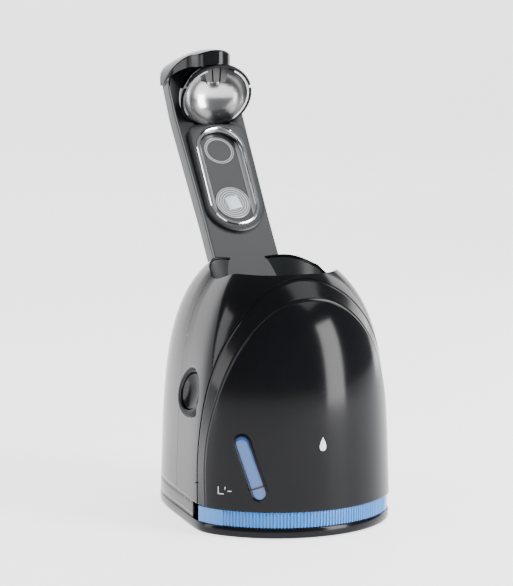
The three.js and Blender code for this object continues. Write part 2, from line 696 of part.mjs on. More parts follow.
/** The arm's outline across and along, drawn in by inset, extruded from one depth to another. */
function armSlab(inset, front, rear, low, high) {
  const half = armHalfWidth - inset;
  const outline = [[half, low], [half, 30], [half + armFlare, armFlareAt], [half + armFlare, 115], [half + 0.3, 143], [half + 0.3, high]];
  const mirrored = outline.map(([x, z]) => [-x, z]).reverse();
  const shape = new THREE.Shape([...outline, ...mirrored].map(([x, z]) => new THREE.Vector2(x, z)));
  const run = new THREE.ExtrudeGeometry(shape, { depth: rear - front, bevelEnabled: false });
  return solid(run.rotateX(Math.PI / 2).translate(0, rear, 0));
}

// ---- hood, contact block and cup --------------------------------------------------------------------
/** A height profile across x, closed far above or below it, extruded along y from front to rear. */
function acrossProfile(heightAt, halfWidth, close, front, rear) {
  const steps = 28;
  const outline = [[halfWidth, close], [-halfWidth, close]];
  for (let i = 0; i <= steps; i++) {
    const x = -halfWidth * Math.cos((Math.PI * i) / steps);
    outline.push([x, heightAt(x)]);
  }
  const shape = new THREE.Shape(outline.map(([x, z]) => new THREE.Vector2(x, z)));
  const run = new THREE.ExtrudeGeometry(shape, { depth: rear - front, bevelEnabled: false });
  return solid(run.rotateX(Math.PI / 2).translate(0, rear, 0));
}
const hoodRear = 175;
/** The hood's roof: arches whose top follows a long fall towards the tip and the rear. */
function hoodRoof() {
  const rings = [];
  const rows = 12;
  for (let row = 0; row <= rows; row++) {
    const y = noseTip - 2 + ((hoodRear - noseTip + 2) * row) / rows;
    const crown = hoodTop - ((y - hoodTopAt) / hoodFall) ** 2;
    const ring = [];
    const steps = 24;
    for (let i = 0; i <= steps; i++) {
      const turn = (Math.PI * i) / steps;
      ring.push([hoodHalfWidth * Math.cos(turn), y, hoodSide + (crown - hoodSide) * Math.sin(turn)]);
    }
    ring.push([-hoodHalfWidth, y, hoodEdge - 20], [hoodHalfWidth, y, hoodEdge - 20]);
    rings.push(ring);
  }
  return loft(rings);
}
/** Height of the hood's underside at x. */
function underHood(x) {
  const share = Math.min(1, Math.abs(x) / hoodInnerHalfWidth);
  return hoodEdge + hoodInnerHeight * Math.sqrt(1 - share ** 2);
}
const noseSteps = 12;
const hoodEdgeLine = [];
for (let i = 0; i <= noseSteps; i++) {
  const turn = (Math.PI / 2) * (i / noseSteps);
  hoodEdgeLine.push([noseHalfWidth * Math.sin(turn), noseShoulder - (noseShoulder - noseTip) * Math.cos(turn)]);
}
for (let i = 0; i <= noseSteps; i++) {
  const y = noseRoot[0] + ((noseRoot[1] - noseRoot[0]) * i) / noseSteps;
  const spread = THREE.MathUtils.smoothstep(y, ...noseRoot);
  hoodEdgeLine.push([noseHalfWidth + (hoodHalfWidth + 0.01 - noseHalfWidth) * spread, y]);
}
hoodEdgeLine.push([hoodHalfWidth + 0.01, hoodRear]);
const hoodPlan = [...hoodEdgeLine, ...hoodEdgeLine.slice(1).reverse().map(([x, y]) => [-x, y])];
const beforeRear = moved(boxBetween([-60, -100, -60], [60, armDepth, 260]), armMatrix);
const aboveArch = acrossProfile(underHood, 60, 400, 0, 260);
const hood = hoodRoof().intersect(plate(hoodPlan, 200, 320)).intersect(aboveArch).intersect(beforeRear);
place(root, "hook_cap", hood, glossBlack);
const roomUnderHood = acrossProfile((x) => underHood(x) - gap, 60, -100, 0, 260);
const underHoodInArm = moved(roomUnderHood, armMatrix.clone().invert());

const cupFrame = new THREE.Matrix4()
  .makeTranslation(...cupMiddle)
  .multiply(new THREE.Matrix4().makeRotationX(rad(cupTilt)));
/** Half an ellipsoid behind the cup's rim, grown by extra, from a depth onwards. */
function bowl(extra, from) {
  const ball = new THREE.SphereGeometry(1, 32, 20);
  ball.scale(cupHalfWidth + extra, cupDepth + extra, cupHalfHeight + extra);
  const half = solid(ball).intersect(boxBetween([-60, from, -60], [60, 60, 60]));
  return moved(half, cupFrame);
}
const blockRoom = boxBetween([-blockHalfWidth - gap, 60, blockLow - 4], [blockHalfWidth + gap, blockRear + gap, 300]);
place(root, "contact_cup", bowl(0, 0).subtract(bowl(-cupThickness, -1)).subtract(blockRoom), chrome);
const shellOut = gap + cupShellThickness;
const cupShell = bowl(shellOut, 0.6).subtract(bowl(gap, -1)).intersect(roomUnderHood).subtract(blockRoom);
place(root, "cup_shell", cupShell, glossBlack);
const cupRoomInArm = moved(bowl(shellOut + gap, -gap), armMatrix.clone().invert());

const taper = 0.72;
let block = loft([
  [[-1, blockFront], [1, blockFront], [1, blockRear], [-1, blockRear]].map(([side, y]) => (
    [side * blockHalfWidth * taper, y, blockLow])),
  [[-1, blockFront], [1, blockFront], [1, blockRear], [-1, blockRear]].map(([side, y]) => (
    [side * blockHalfWidth, y, hoodEdge + hoodInnerHeight + 5])),
]).intersect(roomUnderHood);
for (const x of [-pinX, pinX]) {
  block = block.subtract(boxBetween([x - 0.7, 0, 0], [x + 0.7, blockFront + 1, 400]));
  block = block.subtract(post(x, pinY, blockLow - 1, blockLow + 8, pinRadius + gap, 12));
}
place(root, "contact_block", block, mattBlack);
for (const [side, x] of [["left", -pinX], ["right", pinX]]) {
  const pin = post(x, pinY, blockLow - pinReach, blockLow + 6, pinRadius, 12);
  place(root, "contact_pin_" + side, pin, satinMetal);
}

// ---- arm shells --------------------------------------------------------------------------------------
const shellFront = coverThickness + gap;
const rearShell = armSlab(0, shellFront, armDepth, armStart, armTop)
  .intersect(underHoodInArm)
  .subtract(armSlab(armWall, shellFront - 1, armDepth - armWall, armStart - 1, 134));
place(arm, "arm_rear_shell", rearShell.subtract(cupRoomInArm), satinBlack);

/** A pod outline: straight sides with a round lower end, and a round or square top. */
function podOutline(halfWidth, top, bottom, roundTop) {
  const shape = new THREE.Shape();
  shape.moveTo(halfWidth, bottom + halfWidth);
  if (roundTop) shape.absarc(0, top - halfWidth, halfWidth, 0, Math.PI, false);
  else {
    shape.lineTo(halfWidth, top);
    shape.lineTo(-halfWidth, top);
  }
  shape.absarc(0, bottom + halfWidth, halfWidth, Math.PI, 2 * Math.PI, false);
  return shape;
}
function podSolid(shape, front, rear) {
  const run = new THREE.ExtrudeGeometry(shape, { depth: rear - front, bevelEnabled: false, curveSegments: 14 });
  return solid(run.rotateX(Math.PI / 2).translate(0, rear, 0));
}
const troughHalfWidth = bezelHalfWidth - bezelWidth;
const troughTop = bezelTop - bezelWidth;
const troughBottom = bezelBottom + bezelWidth;
const troughHole = podSolid(podOutline(troughHalfWidth + gap, troughTop + gap, troughBottom - gap, true), -20, 20);
const cover = armSlab(0, 0, coverThickness, armStart, armTop)
  .intersect(underHoodInArm)
  .subtract(troughHole)
  .subtract(cupRoomInArm);
place(arm, "arm_front_cover", cover, satinBlack);

// the pod's front leans from its foot to its top
const podLean = Math.atan2(podFront - podFoot, podTop - podBottom);
const podKeep = solid(
  new THREE.BoxGeometry(100, 40, 300).translate(0, 20 - podFoot, 0).rotateX(podLean).translate(0, 0, podBottom),
);
const bezelRear = -0.6;
const bezelSeat = podSolid(podOutline(bezelHalfWidth + gap, bezelTop + gap, bezelBottom - gap, true), -20, bezelRear + gap);
const podPlate = podSolid(podOutline(podHalfWidth, podTop, podBottom, false), -20, -gap)
  .intersect(podKeep)
  .subtract(bezelSeat)
  .subtract(troughHole)
  .subtract(cupRoomInArm);
place(arm, "pod_plate", podPlate, satinBlack);
const bezelKeep = solid(
  new THREE.BoxGeometry(100, 40, 300).translate(0, 20 - podFoot - 0.7, 0).rotateX(podLean).translate(0, 0, podBottom),
);
const bezel = podSolid(podOutline(bezelHalfWidth, bezelTop, bezelBottom, true), -20, bezelRear)
  .intersect(bezelKeep)
  .subtract(podSolid(podOutline(troughHalfWidth, troughTop, troughBottom, true), -21, 1));
place(arm, "oval_bezel", bezel, chrome);
const troughRear = coverThickness + 1.6;
const keyTravel = 1.2;
const keyRoom = 3;
let trough = podSolid(podOutline(troughHalfWidth, troughTop, troughBottom, true), bezelRear - 0.6, troughRear);
const groove = new THREE.CylinderGeometry(30, 30, 120, 48).rotateX(Math.PI / 2).translate(0, -29.4, 60);
trough = trough.subtract(solid(groove));
for (const [radius, at] of [[startKeyRadius, startKeyAt], [selectKeyRadius, selectKeyAt]]) {
  trough = trough.subtract(disc(0, at, -20, 20, radius + gap));
}
place(arm, "key_trough", trough, satinMetal);

/** A round key: a face disc with turned rings, and a plunger towards its switch. */
function key(radius, at, front) {
  const profile = [[0, 0]];
  const rings = 5;
  for (let i = 1; i <= rings; i++) {
    const along = (radius * i) / (rings + 0.5);
    profile.push([along - 0.5, 0], [along, 0.35]);
  }
  profile.push([radius, 0], [radius, -3], [0, -3]);
  const face = new THREE.LatheGeometry(profile.map(([r, h]) => new THREE.Vector2(r, h)).reverse(), 36);
  return solid(face.rotateX(Math.PI).translate(0, front, at)).add(disc(0, at, front + 2.5, front + 4.6, 2.2, 12));
}
const startFront = -0.4;
place(arm, "start_button", key(startKeyRadius, startKeyAt, startFront), satinMetal);
const selectKey = key(selectKeyRadius, selectKeyAt, startFront);
const statusRoom = boxBetween(
  [-statusSide / 2 - gap, startFront - 3, selectKeyAt - statusSide / 2 - gap],
  [statusSide / 2 + gap, startFront + 1.2, selectKeyAt + statusSide / 2 + gap]);
place(arm, "select_button", selectKey.subtract(statusRoom), satinMetal);
place(arm, "status_window", boxBetween(
  [-statusSide / 2, startFront - 0.5, selectKeyAt - statusSide / 2],
  [statusSide / 2, startFront + 1.2 - gap, selectKeyAt + statusSide / 2]), paleFilter);
const boardFront = startFront + 4.6 + keyTravel + keyRoom;
const switchFront = startFront + 4.6 + keyTravel + gap;
place(arm, "control_board", boxBetween([-15, boardFront, 20], [15, boardFront + 1.4, 108]), boardGreen);
for (const [name, at] of [["start_switch", startKeyAt], ["select_switch", selectKeyAt]]) {
  place(arm, name, boxBetween([-3, switchFront, at - 3], [3, boardFront - gap, at + 3]), steel);
}

// ---- cable and screws -----------------------------------------------------------------------------------------
const cableStart = new THREE.Vector3(0, 9, 12).applyMatrix4(armMatrix).toArray();
const cableLeave = new THREE.Vector3(0, 9, armStart - 2).applyMatrix4(armMatrix).toArray();
place(root, "arm_cable", rod([
  cableStart, cableLeave, [2, 58, 118], [6, boardY - 4, 104], [6, boardY - 2, deckTop + 40],
], 1.6, 18), rubber);
const screwPlaces = { front_left: [-34, -24], front_right: [34, -24], rear_left: [-46, 48], rear_right: [46, 48] };
for (const [corner, [x, y]] of Object.entries(screwPlaces)) {
  const head = post(x, y, deckTop + gap, deckTop + 2.3, 3, 12);
  place(root, "deck_screw_" + corner, head.subtract(boxBetween([x - 2, y - 0.4, deckTop + 1.5], [x + 2, y + 0.4, 60])), steel);
}

// the origin goes under the middle of the whole object
const extent = new THREE.Box3().setFromObject(root);
const whole = new THREE.Group();
root.position.y = -(extent.min.y + extent.max.y) / 2;
whole.add(root);

export default whole;
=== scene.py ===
"""Visual model of a shaver cleaning and charging station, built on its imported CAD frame."""

import json
import logging
import math
from dataclasses import dataclass, field
from enum import Enum

import bmesh
import bpy
import numpy as np
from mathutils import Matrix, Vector


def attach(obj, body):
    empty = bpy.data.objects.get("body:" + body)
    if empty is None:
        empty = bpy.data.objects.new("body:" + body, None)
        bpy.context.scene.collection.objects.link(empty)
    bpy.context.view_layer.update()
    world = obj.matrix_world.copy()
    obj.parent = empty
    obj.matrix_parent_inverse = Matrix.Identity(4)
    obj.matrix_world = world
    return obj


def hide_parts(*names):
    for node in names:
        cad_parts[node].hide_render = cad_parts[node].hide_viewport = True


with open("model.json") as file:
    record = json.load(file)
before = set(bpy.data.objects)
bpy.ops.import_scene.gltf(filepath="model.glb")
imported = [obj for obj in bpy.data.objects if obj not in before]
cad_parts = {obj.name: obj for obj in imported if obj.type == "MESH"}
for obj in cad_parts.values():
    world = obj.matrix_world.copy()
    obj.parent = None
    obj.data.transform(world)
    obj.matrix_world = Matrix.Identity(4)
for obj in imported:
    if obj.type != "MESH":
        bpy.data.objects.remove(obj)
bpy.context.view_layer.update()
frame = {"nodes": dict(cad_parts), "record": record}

log = logging.getLogger("station")
Array = np.ndarray
MM = 0.001
SHIFT = -42.774  # mm from the drum's axis to the middle of the whole object, along y
ARCH_HALF = 22.3  # half width of the arch that the arm's end, hood and block share
ARCH_RISE = 15.5
SEAM = 0.00001


class Slot(str, Enum):
    """Material slots of the record."""

    GLOSS = "gloss_black"
    SATIN = "satin_dark_grey"
    MATT = "matt_black"
    RUBBER = "rubber_pad"
    BLUE = "light_blue"
    CLEAR = "clear_blue"
    CHROME = "chrome_trim"
    METAL = "satin_metal"
    STEEL = "steel"
    BOARD = "board_green"
    # painted reflection: the status pane's light grey stands in for a softbox's reflection on the select key
    FILTER = "pale_filter"
    PAINTED_REFLECTION = "status_pane"


# ---- shader helpers ------------------------------------------------------------------------------


class Sock:
    """An output socket with arithmetic: each operator adds one math node."""

    def __init__(self, shader: "Shader", socket: bpy.types.NodeSocket) -> None:
        """Args: shader: the owner of the node tree. socket: the output."""
        self.shader, self.socket = shader, socket

    def _math(self, kind: str, *inputs: "Sock | float") -> "Sock":
        """Args: kind: operation. inputs: its operands. Returns: the result."""
        return self.shader.add("ShaderNodeMath", "Value", {"operation": kind}, dict(enumerate(inputs)))

    def __add__(self, other: "Sock | float") -> "Sock":
        """Returns: self + other."""
        return self._math("ADD", self, other)

    def __mul__(self, other: "Sock | float") -> "Sock":
        """Returns: self * other."""
        return self._math("MULTIPLY", self, other)

    def __sub__(self, other: "Sock | float") -> "Sock":
        """Returns: self - other."""
        return self._math("SUBTRACT", self, other)

    def __rsub__(self, other: float) -> "Sock":
        """Returns: other - self."""
        return self._math("SUBTRACT", other, self)

    def sine(self) -> "Sock":
        """Returns: the sine of self, in radians."""
        return self._math("SINE", self)

    __radd__ = __add__
    __rmul__ = __mul__


class Shader:
    """Builds one material's node tree around a Principled BSDF."""

    def __init__(self, name: str) -> None:
        """Args: name: the material's name."""
        self.material = bpy.data.materials.new(name)
        self.material.use_nodes = True
        self.tree = self.material.node_tree
        self.principled = self.tree.nodes["Principled BSDF"]

    def add(self, kind: str, output: str, settings: dict, inputs: dict) -> Sock:
        """Adds one node.

        Args:
            kind: node type. output: name of the output to hand back.
            settings: node properties. inputs: sockets or constants by input name or index.

        Returns:
            The chosen output.
        """
        node = self.tree.nodes.new(kind)
        for key, value in settings.items():
            setattr(node, key, value)
        for key, value in inputs.items():
            self.join(value, node.inputs[key])
        return Sock(self, node.outputs[output])

    def join(self, value: "Sock | float | tuple", target: bpy.types.NodeSocket) -> None:
        """Links a socket, or sets a constant on the target."""
        if isinstance(value, Sock):
            self.tree.links.new(value.socket, target)
        else:
            target.default_value = value

    def put(self, **values: "Sock | float | tuple") -> None:
        """Sets Principled inputs; an underscore in a key stands for a space."""
        for key, value in values.items():
            self.join(value, self.principled.inputs[key.replace("_", " ")])

    def place(self) -> Sock:
        """Returns: the object's own coordinates, in metres."""
        return self.add("ShaderNodeTexCoord", "Object", {}, {})

    def noise(self, scale: float, detail: float = 3.0, stretch: tuple = (1, 1, 1)) -> Sock:
        """Returns: noise in 0..1 over the object coordinates, stretched along the axes."""
        spot = self.add(
            "ShaderNodeVectorMath", "Vector", {"operation": "MULTIPLY"}, {0: self.place(), 1: stretch})
        return self.add("ShaderNodeTexNoise", "Fac", {}, {"Vector": spot, "Scale": scale, "Detail": detail})

    def bump(self, height: Sock, strength: float, distance: float) -> None:
        """Feeds a height through a Bump node into Normal."""
        self.put(Normal=self.add(
            "ShaderNodeBump", "Normal", {}, {"Height": height, "Strength": strength, "Distance": distance}))

    def mix(self, share: Sock, low: tuple, high: tuple) -> Sock:
        """Returns: a colour between low and high."""
        node = self.tree.nodes.new("ShaderNodeMix")
        node.data_type = "RGBA"
        self.join(share, node.inputs["Factor"])
        colours = [s for s in node.inputs if s.type == "RGBA"]
        colours[0].default_value, colours[1].default_value = (*low, 1), (*high, 1)
        return Sock(self, next(s for s in node.outputs if s.type == "RGBA"))


@dataclass(frozen=True)
class Finish:
    """One finish: two close colours mixed by noise, roughness with its own variation, and a fine bump."""

    low: tuple[float, float, float]
    high: tuple[float, float, float]
    roughness: float
    spread: float = 0.04
    metallic: float = 0.0
    coat: float = 0.0
    grain: float = 900.0
    depth: float = 0.00001
    strength: float = 0.15
    stretch: tuple[float, float, float] = (1, 1, 1)
    alpha: float = 1.0
    glow: float = 0.0
    shine: float = 0.5

    def make(self, name: str) -> bpy.types.Material:
        """Args: name: the material's name. Returns: the material."""
        shader = Shader(name)
        cloud = shader.noise(60, 4)
        fine = shader.noise(self.grain, 2, self.stretch)
        shader.put(
            Base_Color=shader.mix(cloud, self.low, self.high),
            Roughness=self.roughness + (fine * 0.6 + cloud * 0.4 - 0.5) * (2 * self.spread),
            Metallic=self.metallic, Coat_Weight=self.coat, Alpha=self.alpha, Specular_IOR_Level=self.shine)
        if self.glow:
            shader.put(Emission_Color=(*self.high, 1), Emission_Strength=self.glow)
        shader.bump(fine, self.strength, self.depth)
        return shader.material


@dataclass(frozen=True)
class TurnedFinish(Finish):
    """Metal turned on a lathe: fine rings round an axis through a centre, all in object coordinates."""

    centre: tuple[float, float, float] = (0, 0, 0)
    axis: tuple[float, float, float] = (0, 1, 0)
    pitch: float = 0.0016

    def make(self, name: str) -> bpy.types.Material:
        """Args: name: the material's name. Returns: the material."""
        shader = Shader(name)
        spot = shader.add(
            "ShaderNodeVectorMath", "Vector", {"operation": "SUBTRACT"}, {0: shader.place(), 1: self.centre})
        off = shader.add(
            "ShaderNodeVectorMath", "Vector", {"operation": "CROSS_PRODUCT"}, {0: spot, 1: self.axis})
        radius = shader.add("ShaderNodeVectorMath", "Value", {"operation": "LENGTH"}, {0: off})
        rings = (radius * (2 * math.pi / self.pitch)).sine()
        fine = shader.noise(self.grain, 2)
        shader.put(
            Base_Color=shader.mix(rings * 0.5 + 0.5, self.low, self.high),
            Roughness=self.roughness + (fine - 0.5) * self.spread + rings * 0.03, Metallic=self.metallic)
        shader.bump(rings + fine * 0.4, self.strength, self.depth)
        return shader.material


FINISHES: dict[Slot, Finish] = {
    Slot.GLOSS: Finish((0.002, 0.002, 0.003), (0.004, 0.004, 0.005), 0.15, 0.02, shine=0.16, depth=0.000004),
    Slot.SATIN: Finish((0.006, 0.008, 0.009), (0.010, 0.012, 0.014), 0.36, 0.05, grain=2600, depth=0.00003),
    Slot.MATT: Finish((0.008, 0.008, 0.009), (0.013, 0.013, 0.014), 0.5, 0.08, grain=2000, depth=0.00004),
    Slot.RUBBER: Finish((0.008, 0.008, 0.008), (0.016, 0.016, 0.016), 0.85, 0.06, grain=1500, depth=0.00005),
    Slot.BLUE: Finish((0.018, 0.16, 0.46), (0.028, 0.19, 0.52), 0.32, 0.05, grain=1400, depth=0.00002),
    Slot.CLEAR: Finish((0.015, 0.07, 0.24), (0.025, 0.10, 0.3), 0.12, 0.03, coat=0.5, depth=0.000006),
    Slot.CHROME: Finish((0.42, 0.42, 0.42), (0.50, 0.50, 0.50), 0.2, 0.03, metallic=1.0, depth=0.000003),
    Slot.METAL: Finish(
        (0.40, 0.41, 0.42), (0.54, 0.55, 0.56), 0.3, 0.08, metallic=1.0,
        stretch=(1, 0.06, 0.06), strength=0.3),
    Slot.STEEL: Finish(
        (0.42, 0.43, 0.45), (0.52, 0.53, 0.55), 0.34, 0.08, metallic=1.0, stretch=(0.2, 0.2, 1)),
    Slot.BOARD: Finish((0.01, 0.075, 0.035), (0.02, 0.11, 0.05), 0.4, 0.08),
    Slot.FILTER: Finish(
        (0.62, 0.65, 0.67), (0.76, 0.78, 0.8), 0.9, 0.05, grain=700, depth=0.0003, strength=0.6),
    # painted reflection: light grey for the status pane, in place of a softbox's reflection in the select
    # key's turned metal
    Slot.PAINTED_REFLECTION: Finish((0.56, 0.63, 0.68), (0.66, 0.73, 0.78), 0.3, 0.05),
}


# ---- mesh helpers --------------------------------------------------------------------------------


def ramp(value: Array | float, low: float, high: float) -> Array:
    """Smooth step: 3t^2 - 2t^3 of the value's share between low and high, held to 0..1.

    Args: value: where to read it. low, high: ends of the step. Returns: 0 to 1.
    """
    share = np.clip((value - low) / (high - low), 0, 1)
    return share * share * (3 - 2 * share)


def arch(x: Array, foot: float, rise: float = ARCH_RISE) -> Array:
    """Elliptic arch: foot + rise * sqrt(1 - (x / half)^2), and the foot's height past its ends.

    Args: x: distance from the middle. foot: height of its ends. rise: height of its crown over them.
    Returns: heights.
    """
    return foot + rise * np.sqrt(np.clip(1 - (x / ARCH_HALF) ** 2, 0, 1))


def grid_faces(rows: int, columns: int, closed: bool) -> Array:
    """Quads of a grid stored row by row.

    Args: rows, columns: its size. closed: True if the last column joins the first.
    Returns: an array of vertex numbers, four a face.
    """
    row = np.arange(rows - 1)[:, None]
    column = np.arange(columns if closed else columns - 1)[None, :]
    after = (column + 1) % columns
    a, b = row * columns + column, row * columns + after
    return np.stack([a, b, b + columns, a + columns], -1).reshape(-1, 4)


@dataclass
class Shape:
    """Vertices in millimetres and faces of one piece while it is put together."""

    points: Array
    faces: list

    @staticmethod
    def grid(points: Array, closed: bool = False) -> "Shape":
        """Args: points: rows x columns x 3. closed: columns join up. Returns: an open skin."""
        return Shape(points.reshape(-1, 3), grid_faces(points.shape[0], points.shape[1], closed).tolist())

    @staticmethod
    def loft(rings: Array) -> "Shape":
        """Args: rings: rows x columns x 3, each row a closed ring. Returns: a solid with flat end faces."""
        shape = Shape.grid(rings, True)
        rows, columns = rings.shape[:2]
        shape.faces.append(list(range(columns))[::-1])
        shape.faces.append([(rows - 1) * columns + i for i in range(columns)])
        return shape

    def __add__(self, other: "Shape") -> "Shape":
        """Returns: both shapes as one."""
        shift = len(self.points)
        faces = self.faces + [[i + shift for i in face] for face in other.faces]
        return Shape(np.vstack([self.points, other.points]), faces)

    def moved(self, matrix: Array, offset: Array) -> "Shape":
        """Returns: the shape with points times matrix, plus offset."""
        return Shape(self.points @ np.asarray(matrix) + np.asarray(offset), self.faces)

    def keeping(self, keep: Array) -> "Shape":
        """Args: keep: True for each face to keep. Returns: the shape with only those faces."""
        return Shape(self.points, [f for f, k in zip(self.faces, keep) if k])

    def centres(self) -> Array:
        """Returns: the middle of each face."""
        return np.array([self.points[list(face)].mean(0) for face in self.faces])


@dataclass
class Piece:
    """One visible piece and what it stands for."""

    name: str
    body: str
    slot: Slot
    shape: Shape
    nodes: tuple[str, ...] = ()
    thickness: float = 0.0
    angle: float = 32.0
    material: bpy.types.Material | None = None

    def build(self, kit: "Kit") -> bpy.types.Object:
        """Makes the object, joins its seams, turns it outwards, and puts it on its body.

        Args: kit: shared materials and origin. Returns: the object.
        """
        mesh = bpy.data.meshes.new(self.name)
        points = (self.shape.points + np.array([0, kit.shift, 0])) * MM
        mesh.from_pydata(points.tolist(), [], self.shape.faces)
        tool = bmesh.new()
        tool.from_mesh(mesh)
        ops = bmesh.ops
        ops.remove_doubles(tool, verts=tool.verts, dist=SEAM)
        loose = [v for v in tool.verts if not v.link_faces]
        ops.delete(tool, geom=loose, context="VERTS")
        ops.recalc_face_normals(tool, faces=tool.faces)
        tool.to_mesh(mesh)
        tool.free()
        item = bpy.data.objects.new(self.name, mesh)
        bpy.context.scene.collection.objects.link(item)
        mesh.materials.append(self.material or kit.material(self.slot))
        if self.thickness:
            solid = item.modifiers.new("wall", "SOLIDIFY")
            solid.thickness, solid.offset = self.thickness * MM, -1
        mesh.shade_smooth()
        mesh.set_sharp_from_angle(angle=math.radians(self.angle))
        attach(item, self.body)
        if self.nodes:
            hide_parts(*self.nodes)
        log.info(
            "%s: %d points, %d faces on %s", self.name, len(mesh.vertices), len(mesh.polygons), self.body)
        return item


@dataclass
class Kit:
    """What every sub-assembly shares: the materials and the place of the drum's centre in the row frame."""

    shift: float
    materials: dict[Slot, bpy.types.Material] = field(default_factory=dict)

    def material(self, slot: Slot) -> bpy.types.Material:
        """Args: slot: record slot. Returns: its material, made once."""
        if slot not in self.materials:
            self.materials[slot] = FINISHES[slot].make(slot.value)
        return self.materials[slot]


class Assembly:
    """A sub-assembly: build gives its pieces and dress puts them in the scene."""

    def build(self) -> list[Piece]:
        """Returns: the pieces."""
        raise NotImplementedError

    def dress(self, kit: Kit) -> None:
        """Args: kit: shared materials and origin."""
        for piece in self.build():
            piece.build(kit)


# ---- the dome ------------------------------------------------------------------------------------


@dataclass(frozen=True)
class Dome:
    """The housing's outer surface: a round drum blended into a tapering barrel, closing towards the top."""

    drum: float = 71.0
    barrel: float = 61.8
    taper: float = 0.0013
    middle: float = 8.0
    length: float = 85.0
    corner: float = 40.0
    height: float = 167.5
    power: float = 5.1
    rear_power: float = 3.5
    collar: float = 4.8
    draft: float = 0.00056
    pivot: float = 5.0

    def plan(self, angle: Array) -> Array:
        """Plan radius from the barrel's middle, by bisection on A^corner + B^corner = 1.

        A is the distance from the drum's axis over its radius. B is the fourth-power norm over the
        barrel's half width and length.

        Args: angle: from the front, towards +X. Returns: radii.
        """
        low, high = np.zeros_like(angle), np.full_like(angle, 170.0)
        for _ in range(40):
            radius = (low + high) / 2
            x, y = radius * np.sin(angle), self.middle - radius * np.cos(angle)
            drum = np.hypot(x, np.minimum(y, 0)) / self.drum
            barrel = (np.abs(x / (self.barrel * (1 - self.taper * y))) ** 4
                      + np.abs((y - self.middle) / self.length) ** 4) ** 0.25
            outside = drum**self.corner + barrel**self.corner > 1
            low, high = np.where(outside, low, radius), np.where(outside, radius, high)
        return low

    def at(self, angle: Array, z: Array, proud: Array | float = 0.0) -> Array:
        """Surface points: the plan scaled by sqrt(1 - (z / top)^power) across and along.

        Args: angle, z: matching arrays. proud: distance outside the surface.
        Returns: points, whose last axis is x, y, z.
        """
        angle, z = np.broadcast_arrays(angle, z)
        radius = self.plan(angle.astype(float)) + proud
        x, y = radius * np.sin(angle), self.middle - radius * np.cos(angle)

        def closing(top: Array | float, power: float) -> Array:
            """Args: top: where the profile closes. power: its fullness. Returns: what is left of 1."""
            return np.sqrt(np.clip(1 - (np.maximum(z, 0) / top) ** power, 0, 1))

        across = (1 - self.draft * z) * closing(self.height + 2 + ramp(y, 5, 35) * self.collar, self.power)
        along = np.where(
            y < self.pivot, closing(self.height, self.power), closing(self.height + 3, self.rear_power))
        return np.stack([x * across, self.pivot + (y - self.pivot) * along, z + 0 * x], -1)

    def angle_at(self, x: Array, z: Array) -> Array:
        """Args: x, z: a point seen from the front. Returns: its direction on the surface."""
        turn = np.linspace(0, math.radians(80), 1600)
        plan = self.plan(turn) * np.sin(turn)
        last = int(plan.argmax())
        left = 1 - (np.maximum(z, 0) / (self.height + 2)) ** self.power
        scale = (1 - self.draft * z) * np.sqrt(np.clip(left, 1e-6, 1))
        return np.sign(x) * np.interp(np.abs(x) / scale, plan[: last + 1], turn[: last + 1])

    def rim(self, angle: Array, opening: "Recess") -> Array:
        """Height at which the surface meets the recess opening, by bisection.

        Args: angle: directions. opening: the recess. Returns: heights.
        """
        low, high = np.full_like(angle, 60.0), np.full_like(angle, self.height - 1.0)
        for _ in range(30):
            z = (low + high) / 2
            inside = opening.inside(self.at(angle, z))
            low, high = np.where(inside, low, z), np.where(inside, z, high)
        return low


@dataclass(frozen=True)
class Recess:
    """The opening for the shaver head and the basin under it."""

    middle: float = 6.0
    half_width: float = 38.0
    half_length: float = 43.0
    power: float = 2.2
    floor: float = 115.0
    floor_width: float = 25.0
    floor_length: float = 17.0
    floor_middle: float = -9.0

    def inside(self, points: Array) -> Array:
        """Returns: True for points inside the opening, seen from above."""
        return (np.abs(points[..., 0] / self.half_width) ** self.power
                + np.abs((points[..., 1] - self.middle) / self.half_length) ** self.power) < 1


